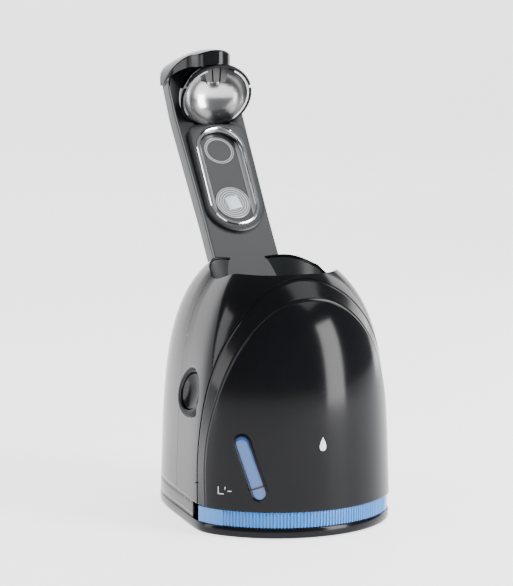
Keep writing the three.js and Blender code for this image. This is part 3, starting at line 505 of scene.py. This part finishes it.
@dataclass
class Housing(Assembly):
    """The glossy shell, its front panel inside an arch, the recess basin and the small droplet mark."""

    dome: Dome = field(default_factory=Dome)
    recess: Recess = field(default_factory=Recess)
    arch_width: float = 60.5
    arch_foot: float = 30.0
    arch_top: float = 141.8
    arch_power: float = 2.2
    low: float = 17.3
    skirt: float = 7.3
    step: float = 1.0
    band_leg: float = 10.0
    band_crown: float = 12.3
    columns: int = 380
    button: "tuple[Array, float]" = (np.array([-58.4, -6.0, 83.3]), 14.0)

    def arch(self, share: Array) -> tuple[Array, Array]:
        """The arch as seen from the front: upright legs to the foot, then a superellipse of power 2.2.

        Args: share: 0 at the left foot to 1 at the right. Returns: x and z.
        """
        leg = 0.06
        turn = np.clip((share - leg) / (1 - 2 * leg), 0, 1) * math.pi
        x = -np.sign(np.cos(turn)) * np.abs(np.cos(turn)) ** (2 / self.arch_power) * self.arch_width
        z = self.arch_foot + np.abs(np.sin(turn)) ** (2 / self.arch_power) * (self.arch_top - self.arch_foot)
        down = np.minimum(share, 1 - share) / leg
        return x, np.where(down < 1, self.low + (self.arch_foot - self.low) * np.clip(down, 0, 1), z)

    def edge(self, grow: float) -> tuple[Array, Array]:
        """The arch on the surface, moved outwards by a share of the band's width.

        Args: grow: 0 on the arch, 1 on the outer crease. Returns: direction and height.
        """
        share = np.linspace(0, 1, self.columns)
        x, z = self.arch(share)
        angle = self.dome.angle_at(x, z)
        along, rise = np.gradient(angle * self.dome.drum), np.gradient(z)
        length = np.hypot(along, rise) + 1e-9
        crown = ramp(z, 60, self.arch_top)
        width = grow * (self.band_leg + (self.band_crown - self.band_leg) * crown)
        angle = angle - rise / length * width / self.dome.drum
        return angle, np.where(z < self.arch_foot, z, z + along / length * width)

    def panel(self) -> Shape:
        """Rows from the middle of the arch out to its edge, less the window's slot."""
        share = np.linspace(0, 1, self.columns)
        x, z = self.arch(share)
        rows = []
        for grow in np.linspace(0, 1, 120) ** 0.85:
            height = np.where(z < self.arch_foot, z, self.arch_foot + (z - self.arch_foot) * grow)
            rows.append(self.dome.at(self.dome.angle_at(x * grow, height), height, self.step))
        skin = Shape.grid(np.array(rows))
        middle = skin.centres()
        keep = ~LevelWindow().covers(middle, 0.6)
        return skin.keeping(keep)

    def band(self) -> Shape:
        """Ruled rows from the arch, proud of the dome, to the outer crease, level with it."""
        inner_angle, inner_z = self.edge(0.0)
        outer_angle, outer_z = self.edge(1.0)
        inner = self.dome.at(inner_angle, inner_z, self.step)
        outer = self.dome.at(outer_angle, outer_z, -0.1)
        share = np.linspace(0, 1, 7)[:, None, None]
        return Shape.grid(inner + (outer - inner) * share)

    def shell(self) -> Shape:
        """Front: rows from the outer crease to the recess rim and the flanks. Rear: up to the rim."""
        start_angle, start_z = self.edge(1.0)
        share = np.linspace(0, 1, self.columns)
        flank = math.radians(100)
        turn = -flank + 2 * flank * ramp(share, 0.2, 0.8)
        rim_z = self.dome.rim(turn, self.recess)
        rise = np.clip(np.minimum(share, 1 - share) / 0.2, 0, 1)
        end_z = self.low + (rim_z - self.low) * rise
        rows = []
        for s in np.linspace(0, 1, 110):
            along = start_angle + (turn - start_angle) * s
            rows.append(self.dome.at(along, start_z + (end_z - start_z) * s))
        front = Shape.grid(np.array(rows))
        back = np.linspace(flank, 2 * math.pi - flank, 260)
        top = self.dome.rim(back, self.recess)
        levels = np.sin(np.linspace(0, math.pi / 2, 90))[:, None]
        heights = self.low + (top - self.low) * levels
        rear = Shape.grid(self.dome.at(np.broadcast_to(back, (90, 260)), heights))
        apron_turn = np.linspace(math.radians(67.4), 2 * math.pi - math.radians(67.4), 320)
        apron_z = np.linspace(self.skirt, self.low, 4)[:, None]
        apron = Shape.grid(self.dome.at(np.broadcast_to(apron_turn, (4, 320)), apron_z))
        joined = front + rear + apron
        centre, radius = self.button
        away = np.linalg.norm(joined.centres() - centre, axis=1)
        inlet = (np.abs(joined.centres()[:, 0]) < 11) & (joined.centres()[:, 1] > 60) & (
            np.abs(joined.centres()[:, 2] - 21) < 8)
        return joined.keeping((away > radius) & ~inlet)

    def basin(self) -> Shape:
        """A bowl from the rim, just inside the opening, down to a small flat floor."""
        count, rows = 160, []
        turn = np.linspace(0, 2 * math.pi, count, endpoint=False)
        power = 2 / self.recess.power
        ux = np.sign(np.sin(turn)) * np.abs(np.sin(turn)) ** power
        uy = -np.sign(np.cos(turn)) * np.abs(np.cos(turn)) ** power
        half_w, half_l = self.recess.half_width - 0.25, self.recess.half_length - 0.25
        rim = self.height_over(half_w * ux, self.recess.middle + half_l * uy) - 0.9
        for share in np.linspace(0, 1, 40):
            ease = min(1.0, share) ** 0.7
            w = self.recess.floor_width + (half_w - self.recess.floor_width) * ease
            length = self.recess.floor_length + (half_l - self.recess.floor_length) * ease
            mid = self.recess.floor_middle + (self.recess.middle - self.recess.floor_middle) * ease
            z = self.recess.floor + (rim - self.recess.floor) * share**1.25
            rows.append(np.stack([w * ux, mid + length * uy, z], -1))
        grid = np.array(rows)
        floor = []
        for s in np.linspace(0.02, 0.97, 8):
            floor.append(grid[0] * [s, s, 1] + [0, self.recess.floor_middle * (1 - s), 0])
        return Shape.grid(np.concatenate([np.array(floor), grid]), True)

    def height_over(self, x: Array, y: Array) -> Array:
        """Args: x, y: points in plan. Returns: the rim's height in that direction, from a fine table."""
        turn = np.linspace(-math.pi, math.pi, 721)
        rim = self.dome.at(turn, self.dome.rim(turn, self.recess))
        table = np.arctan2(rim[:, 0], self.recess.middle - rim[:, 1])
        order = np.argsort(table)
        wanted = np.arctan2(x, self.recess.middle - y)
        return np.interp(wanted, table[order], rim[order, 2], period=2 * math.pi)

    def droplet(self) -> Shape:
        """A small plain droplet lying on the panel: a circle whose upper side runs to a point."""
        turn = np.linspace(0, 2 * math.pi, 64, endpoint=False)
        x = 2.9 * np.sin(turn) * np.sin(turn / 2) ** 1.3
        z = 57.9 + 4.2 * np.cos(turn)
        rows = []
        for scale, lift in ((1.0, -0.2), (1.0, 0.1), (0.02, 0.14)):
            height = 57.0 + (z - 57.0) * scale
            rows.append(self.dome.at(self.dome.angle_at(x * scale, height), height, self.step + lift))
        return Shape.grid(np.array(rows), True)

    def build(self) -> list[Piece]:
        """Returns: shell, panel, band, basin and mark."""
        return [
            Piece("dome_shell", "housing", Slot.GLOSS, self.shell(), ("housing_shell",), thickness=1.6),
            Piece("front_panel_skin", "housing", Slot.GLOSS, self.panel(), ("front_panel",), thickness=0.8),
            Piece("panel_band", "housing", Slot.GLOSS, self.band(), thickness=0.5),
            Piece("basin_bowl", "housing", Slot.SATIN, self.basin(), ("recess_basin",),
                  thickness=-0.8, angle=60),
            Piece("droplet_mark", "housing", Slot.METAL, self.droplet(), angle=60),
        ]


# ---- level window --------------------------------------------------------------------------------


@dataclass
class LevelWindow(Assembly):
    """The slanted level window: a black frame, a blue pane with a level line, and a small tray pictogram."""

    angle: float = 35.3
    height: float = 43.5
    slant: float = 19.5
    half_length: float = 20.0
    half_width: float = 4.2
    rim: float = 1.1

    def basis(self) -> tuple[Array, Array]:
        """Returns: rows across, in and up the slot, and its middle on the panel."""
        a, s = math.radians(self.angle), math.radians(self.slant)
        up = np.array([-math.sin(s) * math.cos(a), math.sin(s) * math.sin(a), math.cos(s)])
        inward = np.array([math.sin(a), math.cos(a), 0.0])
        dome = Dome()
        point = dome.at(np.linspace(-1.2, 0, 2400), self.height, 1.0)
        middle = point[np.abs(np.arctan2(-point[:, 0], -point[:, 1]) - a).argmin()]
        return np.array([np.cross(inward, up), inward, up]), middle

    def covers(self, points: Array, extra: float) -> Array:
        """Returns: True for points inside the slot grown by extra."""
        basis, middle = self.basis()
        local = (points - middle) @ basis.T
        reach = self.half_length - self.half_width
        straight = np.clip(local[:, 2], -reach, reach)
        return np.hypot(local[:, 0], local[:, 2] - straight) < self.half_width + extra

    def ring(self, half_length: float, half_width: float, depth: float) -> Array:
        """Returns: a round-ended slot at a depth, in the window's frame."""
        turn = np.linspace(0, 2 * math.pi, 96, endpoint=False)
        x, z = half_width * np.cos(turn), half_width * np.sin(turn)
        z = z + np.where(np.sin(turn) >= 0, 1, -1) * (half_length - half_width)
        bend = 0.35 * (z / 20) ** 2 + 0.5 * (x / 8.4) ** 2
        return np.stack([x, np.full_like(x, depth) + bend, z], -1)

    def build(self) -> list[Piece]:
        """Returns: frame, pane, level line and pictogram."""
        basis, middle = self.basis()
        steps = [(1.7, 1.2), (1.7, -0.25), (1.2, -0.5), (0.2, -0.5), (0.0, -0.3), (0.0, 2.5)]
        rings = np.array([self.ring(self.half_length + g, self.half_width + g, d) for g, d in steps])
        pane = np.array([self.ring(self.half_length - g, self.half_width - g, d) for g, d in (
            (-0.05, 1.6), (-0.05, 0.5), (0.5, 0.25), (2.0, 0.1), (4.1, 0.05))])
        line = self.box((-4.0, -0.25, -12.9), (4.0, 0.9, -12.0))
        side = math.radians(46)
        upright = np.array([
            [math.cos(side), -math.sin(side), 0], [math.sin(side), math.cos(side), 0], [0, 0, 1]])
        spot = Dome().at(np.array([-side]), np.array([29.0]), 1.0)[0]
        bars = (((-2.5, -0.15, -2.3), (-2.0, 0.6, 2.3)), ((2.0, -0.15, -2.3), (2.5, 0.6, 2.3)),
                ((-2.0, -0.15, -2.3), (2.0, 0.6, -1.8)), ((4.0, -0.3, -0.3), (6.5, 0.6, 0.2)))
        mark = self.box(*bars[0]) + self.box(*bars[1]) + self.box(*bars[2]) + self.box(*bars[3])
        return [
            Piece("window_rim", "housing", Slot.GLOSS, Shape.grid(rings, True).moved(basis, middle),
                  ("window_frame",)),
            Piece("window_pane", "housing", Slot.CLEAR, Shape.loft(pane).moved(basis, middle),
                  ("sight_glass",)),
            Piece("level_line", "housing", Slot.MATT, line.moved(basis, middle)),
            Piece("tray_pictogram", "housing", Slot.METAL, mark.moved(upright, spot)),
        ]

    @staticmethod
    def box(low: tuple, high: tuple) -> Shape:
        """Returns: a box between two corners, in the window's frame."""
        (x0, y0, z0), (x1, y1, z1) = low, high
        rings = [[(x0, y, z0), (x1, y, z0), (x1, y, z1), (x0, y, z1)] for y in (y0, y1)]
        return Shape.loft(np.array(rings, float))


# ---- lift button ---------------------------------------------------------------------------------


@dataclass
class LiftButton(Assembly):
    """A round dished button in a raised ring on the left side."""

    rise: float = 14.0
    turn: float = 9.0

    def basis(self) -> tuple[Array, Array]:
        """Returns: rows across, in and up, and the middle of the ring."""
        r, t = math.radians(self.rise), math.radians(self.turn)
        inward = np.array([math.cos(r) * math.cos(t), math.cos(r) * math.sin(t), -math.sin(r)])
        across = np.cross(inward, [0, 0, 1.0])
        across /= np.linalg.norm(across)
        return np.array([across, inward, np.cross(across, inward)]), Housing().button[0]

    def lathe(self, profile: list[tuple[float, float]]) -> Shape:
        """Args: profile: radius and depth pairs. Returns: the turned skin."""
        turn = np.linspace(0, 2 * math.pi, 128, endpoint=False)
        rings = []
        for r, d in profile:
            rings.append(np.stack([r * np.cos(turn), np.full_like(turn, d), r * np.sin(turn)], -1))
        return Shape.grid(np.array(rings), True)

    def build(self) -> list[Piece]:
        """Returns: the ring and the button."""
        basis, middle = self.basis()
        ring = [(16.2, 3.0), (16.2, 0.4), (16.0, -0.3), (15.5, -0.75), (14.6, -0.95), (12.8, -0.9),
                (11.9, -0.6), (11.5, 0.1), (11.5, 4.0)]
        dish = [(r, 0.3 + 2.0 * (1 - (r / 10.6) ** 2)) for r in np.linspace(0.1, 10.4, 16)]
        face = [*dish, (10.8, 0.25), (11.1, 0.45), (11.2, 0.9), (11.2, 5.0)]
        return [
            Piece("button_collar", "housing", Slot.GLOSS, self.lathe(ring).moved(basis, middle),
                  ("button_ring",)),
            Piece("button_face", "lift_key", Slot.GLOSS, self.lathe(face).moved(basis, middle),
                  ("lift_button",)),
        ]


# ---- tray and strip ------------------------------------------------------------------------------


@dataclass
class Base(Assembly):
    """The black tray lip and the ribbed blue strip in front of the cartridge."""

    dome: Dome = field(default_factory=Dome)
    strip_low: float = 7.4
    strip_high: float = 16.8
    reach: float = 66.6
    ribbed: float = 46.0
    ribs: int = 160
    radius: float = 69.9

    def strip(self) -> Shape:
        """Radius follows a rounded wave over the ribbed middle; the ends tuck in by up to 2 mm."""
        turn = np.linspace(-math.radians(self.reach), math.radians(self.reach), 2400)
        degrees = np.degrees(np.abs(turn))
        wave = np.clip(np.cos(turn * self.ribs / math.radians(self.ribbed) * math.pi / 2) * 1.8, -1, 1)
        depth = np.where(degrees < self.ribbed, 0.35 * (wave - 1), 0.0)
        depth = depth - 2.0 * ramp(degrees, 52, self.reach)
        lower = np.where(degrees > 50, 1.2, 0.0)
        rows = []
        for z, tuck in ((0.0, 3.0), (0.0, 0.35), (0.06, 0.0), (0.94, 0.0), (1.0, 0.35), (1.0, 6.0)):
            radius = self.radius + depth * (0 if tuck > 2 else 1) - tuck
            height = self.strip_low - lower * (1 - z) + (self.strip_high - self.strip_low) * z
            height = np.broadcast_to(height, turn.shape)
            rows.append(np.stack([radius * np.sin(turn), -radius * np.cos(turn), height], -1))
        return Shape.grid(np.array(rows))

    def lip(self) -> Shape:
        """The tray's outside: a rounded lower edge, an upright lip and a flat top that runs inwards."""
        turn = np.linspace(0, 2 * math.pi, 480, endpoint=False)
        steps = ((-6.0, 0.8), (-1.6, 0.8), (-0.7, 1.1), (-0.15, 1.9), (0.0, 2.8),
                 (0.0, 6.4), (-0.3, 6.9), (-0.8, 7.0), (-6.0, 7.0))
        rows = []
        for inset, z in steps:
            ring = self.dome.at(turn, np.zeros_like(turn), inset)
            ring[:, 2] = z
            rows.append(ring)
        return Shape.grid(np.array(rows), True)

    def build(self) -> list[Piece]:
        """Returns: the lip and the strip."""
        return [
            Piece("tray_lip", "base", Slot.GLOSS, self.lip()),
            Piece("ribbed_strip", "cartridge", Slot.BLUE, self.strip(), angle=50),
        ]


# ---- arm -----------------------------------------------------------------------------------------


@dataclass
class Arm(Assembly):
    """The leaning holder arm with its raised pod, two round keys, chrome bezel and trough."""

    lean: float = 36.9
    foot: tuple[float, float, float] = (0.0, 47.0, 157.3)
    half_width: float = 22.0
    depth: float = 14.0
    start: float = -26.0
    start_at: float = 82.0
    select_at: float = 41.5

    def basis(self) -> tuple[Array, Array]:
        """Returns: rows across, in and along the arm, and its foot."""
        a = math.radians(self.lean)
        rows = [[1, 0, 0], [0, math.cos(a), -math.sin(a)], [0, math.sin(a), math.cos(a)]]
        return np.array(rows), np.array(self.foot)

    def width(self, s: Array) -> Array:
        """Returns: the arm's half width at a distance along it."""
        return np.interp(s, [0, 30, 108, 115, 143, 180], [22, 22, 23.5, 23.5, 22.3, 22.3])

    def slab(self, front: float, rear: float, radius: float) -> Shape:
        """A long slab with rounded long edges, whose top is cut under the hood's arch in world heights."""
        basis, foot = self.basis()
        count = 72
        turn = np.linspace(0, 2 * math.pi, count, endpoint=False)
        half = (rear - front) / 2
        cx, cy = np.sign(np.cos(turn)), np.sign(np.sin(turn))
        rows = []
        for s in np.linspace(self.start, 168, 195):
            wide = float(self.width(s))
            x = cx * (wide - radius) + radius * np.cos(turn)
            y = (front + rear) / 2 + cy * (half - radius) + radius * np.sin(turn)
            flat = np.linspace(-1, 1, 61)[1:-1] * (wide - radius)
            x, y = np.insert(x, 55, flat), np.insert(y, 55, np.full_like(flat, front))
            rows.append(np.stack([x, y, np.full_like(x, s)], -1))
        grid = np.array(rows)
        world = grid @ basis + foot
        over = np.maximum(0, world[..., 2] - arch(world[..., 0], 263.4, 15.6)) / basis[2, 2]
        grid[..., 2] -= over
        slab = Shape.loft(grid).moved(basis, foot)
        return slab.keeping(~Hood().in_cup(slab.centres(), 0.9))

    def pod_ring(
            self, half: float, top: float, bottom: float, y: float | None, square: bool = False) -> Array:
        """A long ring round the pod at one depth, or on the pod's leaning front when y is None.

        Args: half, top, bottom: its outline. y: depth. square: True for a square upper end.
        Returns: the ring.
        """
        turn = np.linspace(0, 2 * math.pi, 160, endpoint=False)
        x, z = half * np.cos(turn), half * np.sin(turn)
        z = z + np.where(np.sin(turn) >= 0, top - half, bottom + half)
        if square:
            power = 0.28
            up = np.sin(turn) >= 0
            x = np.where(up, half * np.sign(np.cos(turn)) * np.abs(np.cos(turn)) ** power, x)
            z = np.where(up, top - half + half * np.abs(np.sin(turn)) ** power, z)
        lean = -2.0 - (z - 19) * (2.6 / 80.6)
        return np.stack([x, lean if y is None else np.full_like(x, y), z], -1)

    def key(self, at: float, radius: float, front: float, dip: float) -> Shape:
        """A turned disc: a shallow crown with a rounded edge, and a short side."""
        turn = np.linspace(0, 2 * math.pi, 128, endpoint=False)
        radii = [*np.linspace(0.05, radius - 0.6, 30), radius - 0.2, radius, radius]
        rows = []
        for i, r in enumerate(radii):
            level = front + dip * (1 - (r / radius) ** 2) if i < 30 else front + (0.15, 0.5, 3.5)[i - 30]
            rows.append(np.stack([r * np.cos(turn), np.full_like(turn, level), at + r * np.sin(turn)], -1))
        return Shape.grid(np.array(rows), True)

    def turned(self, at: float, name: str) -> bpy.types.Material:
        """Returns: ring-turned metal centred on a key."""
        basis, foot = self.basis()
        centre = (np.array([0, 0, at]) @ basis + foot + [0, SHIFT, 0]) * MM
        finish = TurnedFinish((0.08, 0.08, 0.09), (0.34, 0.35, 0.36), 0.32, 0.06, metallic=1.0, strength=0.5,
                              depth=0.00006, centre=tuple(centre), axis=tuple(basis[1]))
        return finish.make(name)

    def build(self) -> list[Piece]:
        """Returns: slabs, pod, bezel, trough and keys."""
        basis, foot = self.basis()

        def put(shape: Shape) -> Shape:
            """Args: shape: in the arm's frame. Returns: the shape in its place."""
            return shape.moved(basis, foot)

        ring = self.pod_ring
        lean_outer = ring(19.8, 99.6, 19.2, None, True)
        shoulder = ring(19.0, 98.9, 20.0, None, True)
        shoulder[:, 1] -= 0.35
        lean_inner = ring(16.9, 97.4, 23.6, None) - [0, 0.2, 0]
        plate = np.array([ring(19.8, 99.6, 19.2, 0.2, True), lean_outer, shoulder, lean_inner])
        bezel_rows = []
        section = ((0.0, 1.0), (0.0, -0.6), (0.35, -1.05), (1.1, -1.25), (1.85, -1.0), (2.2, -0.4), (2.2, 3.0))
        for grow, lift in section:
            row = ring(17.0 - grow, 97.5 - grow, 23.5 + grow, None)
            row[:, 1] += lift
            bezel_rows.append(row)
        trough = []
        for grow in np.linspace(0, 14.4, 24):
            row = ring(14.8 - grow, 95.3 - grow, 25.7 + grow, 0.0)
            row[:, 1] = 1.6 - 2.4 * (row[:, 0] / 14.8) ** 2
            trough.append(row)
        start = self.key(self.start_at, 10.2, -0.3, 0.9)
        select = self.key(self.select_at, 12.0, -0.6, 0.2)
        # status pane: a light-grey square on the select key that paints a softbox's reflection
        tilt = math.radians(12)
        pane = []
        for grow, y in ((0.0, 0.0), (0.0, -0.75), (0.35, -0.95), (4.4, -1.0)):
            half = 4.5 - grow
            corners = np.array([(-half, -half), (half, -half), (half, half), (-half, half)])
            x = corners[:, 0] * math.cos(tilt) - corners[:, 1] * math.sin(tilt)
            z = corners[:, 0] * math.sin(tilt) + corners[:, 1] * math.cos(tilt)
            pane.append(np.stack([x, np.full(4, y), z + self.select_at], -1))
        bright = Finish((0.80, 0.81, 0.83), (0.86, 0.87, 0.89), 0.08, 0.02, metallic=1.0)
        return [
            Piece("arm_back", "housing", Slot.SATIN, self.slab(2.4, self.depth, 1.6),
                  ("arm_rear_shell",)),
            Piece("arm_face", "housing", Slot.SATIN, self.slab(0.0, 2.2, 0.6), ("arm_front_cover",)),
            Piece("pod_face", "housing", Slot.SATIN, put(Shape.grid(plate, True)), ("pod_plate",)),
            Piece("bezel_ring", "housing", Slot.CHROME, put(Shape.grid(np.array(bezel_rows), True)),
                  ("oval_bezel",), material=bright.make("bright_trim")),
            Piece("trough_face", "housing", Slot.METAL, put(Shape.grid(np.array(trough), True)),
                  ("key_trough",)),
            Piece("start_key_disc", "start_key", Slot.METAL, put(start), ("start_button",),
                  material=self.turned(self.start_at, "start_key_metal")),
            Piece("select_key_disc", "select_key", Slot.METAL, put(select), ("select_button",),
                  material=self.turned(self.select_at, "select_key_metal")),
            # the status pane is a painted reflection of a softbox, in light grey
            Piece("status_pane", "select_key", Slot.PAINTED_REFLECTION, put(Shape.loft(np.array(pane))),
                  ("status_window",)),
        ]


# ---- hood and cup --------------------------------------------------------------------------------


CUP_CENTRE = np.array([0, 101.2, 257.5])
CUP_RADII = np.array([22.8, 20.5, 21.8])  # across, in and up, before the tilt
CUP_TILT = 27.1


def cup_basis() -> Array:
    """Returns: rows across, in and up the cup, turned about x by its tilt."""
    tilt = math.radians(CUP_TILT)
    return np.array([[1, 0, 0], [0, math.cos(tilt), math.sin(tilt)], [0, -math.sin(tilt), math.cos(tilt)]])


@dataclass
class Hood(Assembly):
    """The glossy hood over the arm's end, the chrome cup under it, and the ribbed contact block."""

    half: float = 22.5
    side: float = 264.8
    crown: float = 288.8
    crown_at: float = 108.0
    fall: float = 17.5
    nose: float = 11.5
    tip: float = 96.0
    shoulder: float = 107.0
    root: tuple[float, float] = (112.0, 140.0)

    def front_y(self, x: Array) -> Array:
        """Returns: y of the plan's front edge: half an ellipse, then a smooth step out to full width."""
        y = np.concatenate([np.linspace(self.tip, self.shoulder, 60), np.linspace(*self.root, 60)])
        nose = self.nose * np.sqrt(np.clip(1 - ((self.shoulder - y) / (self.shoulder - self.tip)) ** 2, 0, 1))
        spread = self.nose + (self.half - self.nose) * ramp(y, *self.root)
        wide = np.where(y < self.shoulder, nose, spread)
        return np.interp(np.abs(x), wide, y)

    def roof(self) -> Shape:
        """Rows across from the tip to the arm's rear plane: an elliptic arch above, a smaller one below."""
        turn = np.linspace(0, math.pi, 180)
        rows = []
        for s in np.linspace(0, 1, 80) ** 1.6:
            x_full = self.half * np.cos(turn)
            rear = self.rear_y(x_full)
            front = self.front_y(x_full)
            y = front + (rear - front) * s
            top = self.crown - ((y - self.crown_at) / self.fall) ** 2
            z = self.side + (top - self.side) * np.sin(turn)
            lip = 0.9 * (1 - ramp(s, 0, 0.04))
            rows.append(np.stack([x_full * (1 - 0.012 * lip), y, z - lip * np.sin(turn)], -1))
        upper = np.array(rows)
        lower = upper[::-1].copy()
        lower[..., 2] = np.minimum(arch(lower[..., 0], 264.0), upper[::-1][..., 2] - 0.05)
        return Shape.grid(np.concatenate([upper, lower, upper[:1]]))

    def rear_y(self, x: Array) -> Array:
        """Returns: y where the roof meets the arm's rear plane, by a few fixed-point steps."""
        y = np.full_like(x, 150.0)
        for _ in range(30):
            top = self.crown - ((y - self.crown_at) / self.fall) ** 2
            z = self.side + (top - self.side) * np.sqrt(np.clip(1 - (x / self.half) ** 2, 0, 1))
            y = 47 + (14 + 0.6 * (z - 157.3)) / 0.8
        return y

    @staticmethod
    def in_cup(points: Array, grow: float) -> Array:
        """Returns: True for points inside the whole ellipsoid of the cup, grown by a little."""
        local = (points - CUP_CENTRE) @ cup_basis().T / (CUP_RADII + grow)
        return (local**2).sum(1) < 1

    def cup(self, grow: float, thick: float) -> Shape:
        """Half an ellipsoid, tilted: its outer skin out to the rim, then its inner skin back."""
        turn = np.linspace(0, 2 * math.pi, 144, endpoint=False)
        rows = []
        for g, path in ((grow, np.linspace(0.02, 1, 40)), (grow - thick, np.linspace(1, 0.02, 40))):
            for p in path:
                a = p * math.pi / 2
                wide, deep, tall = CUP_RADII + g
                rows.append(np.stack([
                    wide * math.sin(a) * np.sin(turn),
                    np.full_like(turn, deep * math.cos(a)),
                    tall * math.sin(a) * np.cos(turn)], -1))
        return Shape.grid(np.array(rows), True).moved(cup_basis(), CUP_CENTRE)

    def block(self) -> Shape:
        """A tapering block with three upright ribs on its front."""
        x = np.linspace(-1, 1, 61)
        groove = 1.0 * (np.abs(np.abs(x) - 0.36) < 0.07)
        front = np.stack([x, 101.0 + groove, 0 * x], -1)
        rear = np.stack([x[::-1], np.full_like(x, 110.5), 0 * x], -1)
        ring = np.concatenate([front, rear])
        rows = []
        for z, wide in ((267.5, 6.5), (268.1, 6.9), (279.2, 9.0)):
            row = ring * [wide, 1, 1] + [0, 0, z]
            row[:, 2] = np.minimum(row[:, 2], arch(row[:, 0], 263.7))
            rows.append(row)
        return Shape.loft(np.array(rows))

    def build(self) -> list[Piece]:
        """Returns: hood, cup, its black outside and the block."""
        shell = self.cup(1.9, 1.6)
        centres = shell.centres()
        under = centres[:, 2] < arch(centres[:, 0], 263.7)
        chrome = self.cup(0.0, 1.1)
        spots = chrome.centres()
        notch = (np.abs(spots[:, 0]) < 9.2) & (spots[:, 1] < 110.6) & (spots[:, 2] > 264)
        return [
            Piece("hood_roof", "housing", Slot.GLOSS, self.roof(), ("hook_cap",), angle=40),
            Piece("cup_chrome", "housing", Slot.CHROME, chrome.keeping(~notch), ("contact_cup",), angle=50),
            Piece("cup_outside", "housing", Slot.GLOSS, shell.keeping(under), ("cup_shell",), angle=50),
            Piece("contact_ribs", "housing", Slot.MATT, self.block(), ("contact_block",), angle=30),
        ]


# ---- what is left as CAD -------------------------------------------------------------------------


class Inside(Assembly):
    """The nodes shown as they are: only their finish is set."""

    def build(self) -> list[Piece]:
        """Returns: nothing, as no piece is made."""
        return []

    def dress(self, kit: Kit) -> None:
        """Args: kit: shared materials."""
        slots = {row["node"]: row["material_slot"] for row in frame["record"]["subparts"]}
        for name, node in frame["nodes"].items():
            if node.hide_render:
                continue
            node.data.materials.clear()
            node.data.materials.append(kit.material(Slot(slots[name])))
            log.info("%s: finish %s", name, slots[name])


# ---- stage ---------------------------------------------------------------------------------------


@dataclass
class Stage:
    """A pale floor, soft lights and the camera."""

    camera: tuple[float, float, float] = (-0.5446, -1.2849, 0.3188)
    azimuth: float = 22.467
    elevation: float = 7.293
    focal: float = 139.22

    def floor(self) -> None:
        """A wide pale floor that curves up far behind the object."""
        span = np.linspace(-6, 6, 25)
        depth = np.linspace(-6, 6, 49)
        x, y = np.meshgrid(span, depth)
        z = 1.6 * ramp(y, 2.4, 6.0) * 2
        mesh = bpy.data.meshes.new("floor")
        shape = Shape.grid(np.stack([x, y, z], -1))
        mesh.from_pydata(shape.points.tolist(), [], shape.faces)
        mesh.shade_smooth()
        pale = Finish((0.86, 0.86, 0.87), (0.89, 0.89, 0.90), 0.6, 0.04, glow=2.4)
        mesh.materials.append(pale.make("floor_pale"))
        item = bpy.data.objects.new("floor", mesh)
        bpy.context.scene.collection.objects.link(item)

    def light(self, name: str, spot: tuple, aim: tuple, size: tuple, power: float) -> None:
        """Args: name, spot, aim, size, power: one rectangular soft light."""
        data = bpy.data.lights.new(name, "AREA")
        data.shape, data.size, data.size_y, data.energy = "RECTANGLE", size[0], size[1], power
        item = bpy.data.objects.new(name, data)
        item.location = spot
        item.rotation_euler = (Vector(aim) - Vector(spot)).to_track_quat("-Z", "Y").to_euler()
        item.visible_camera = False
        bpy.context.scene.collection.objects.link(item)

    def build(self) -> None:
        """Makes the floor, the lights, the world and the camera."""
        self.floor()
        self.light("front_box", (0.78, -1.0, 0.42), (0, 0, 0.12), (0.5, 1.0), 34)
        self.light("left_box", (-1.3, 0.25, 0.45), (0, 0, 0.12), (0.5, 1.1), 12)
        self.light("top_box", (0.45, -0.35, 1.3), (0, 0, 0.15), (0.8, 0.6), 6)
        self.light("right_box", (1.2, 0.5, 0.5), (0, 0, 0.1), (0.4, 1.2), 8)
        world = bpy.data.worlds.new("room")
        bpy.context.scene.world = world
        world.use_nodes = True
        background = world.node_tree.nodes["Background"]
        background.inputs["Color"].default_value = (0.9, 0.92, 0.95, 1)
        background.inputs["Strength"].default_value = 0.35
        data = bpy.data.cameras.new("camera")
        data.lens, data.sensor_width, data.sensor_fit = self.focal, 36.0, "AUTO"
        item = bpy.data.objects.new("camera", data)
        bpy.context.scene.collection.objects.link(item)
        self.aim(item)
        bpy.context.scene.camera = item

    def aim(self, item: bpy.types.Object) -> None:
        """Stands the camera in front of the object, to its left and a little above, and points it.

        Args: item: the camera.
        """
        item.location = (self.camera[0], self.camera[1] + SHIFT * MM, self.camera[2])
        side, down = math.radians(self.azimuth), math.radians(self.elevation)
        forward = Vector((math.sin(side) * math.cos(down), math.cos(side) * math.cos(down), -math.sin(down)))
        item.rotation_euler = forward.to_track_quat("-Z", "Y").to_euler()


def main() -> None:
    """Builds every sub-assembly, then the stage."""
    logging.basicConfig(level=logging.INFO, format="%(name)s %(message)s")
    kit = Kit(SHIFT)
    for assembly in (Housing(), LevelWindow(), LiftButton(), Base(), Arm(), Hood(), Inside()):
        log.info("building %s", type(assembly).__name__)
        assembly.dress(kit)
    Stage().build()


if __name__ == "__main__":
    main()
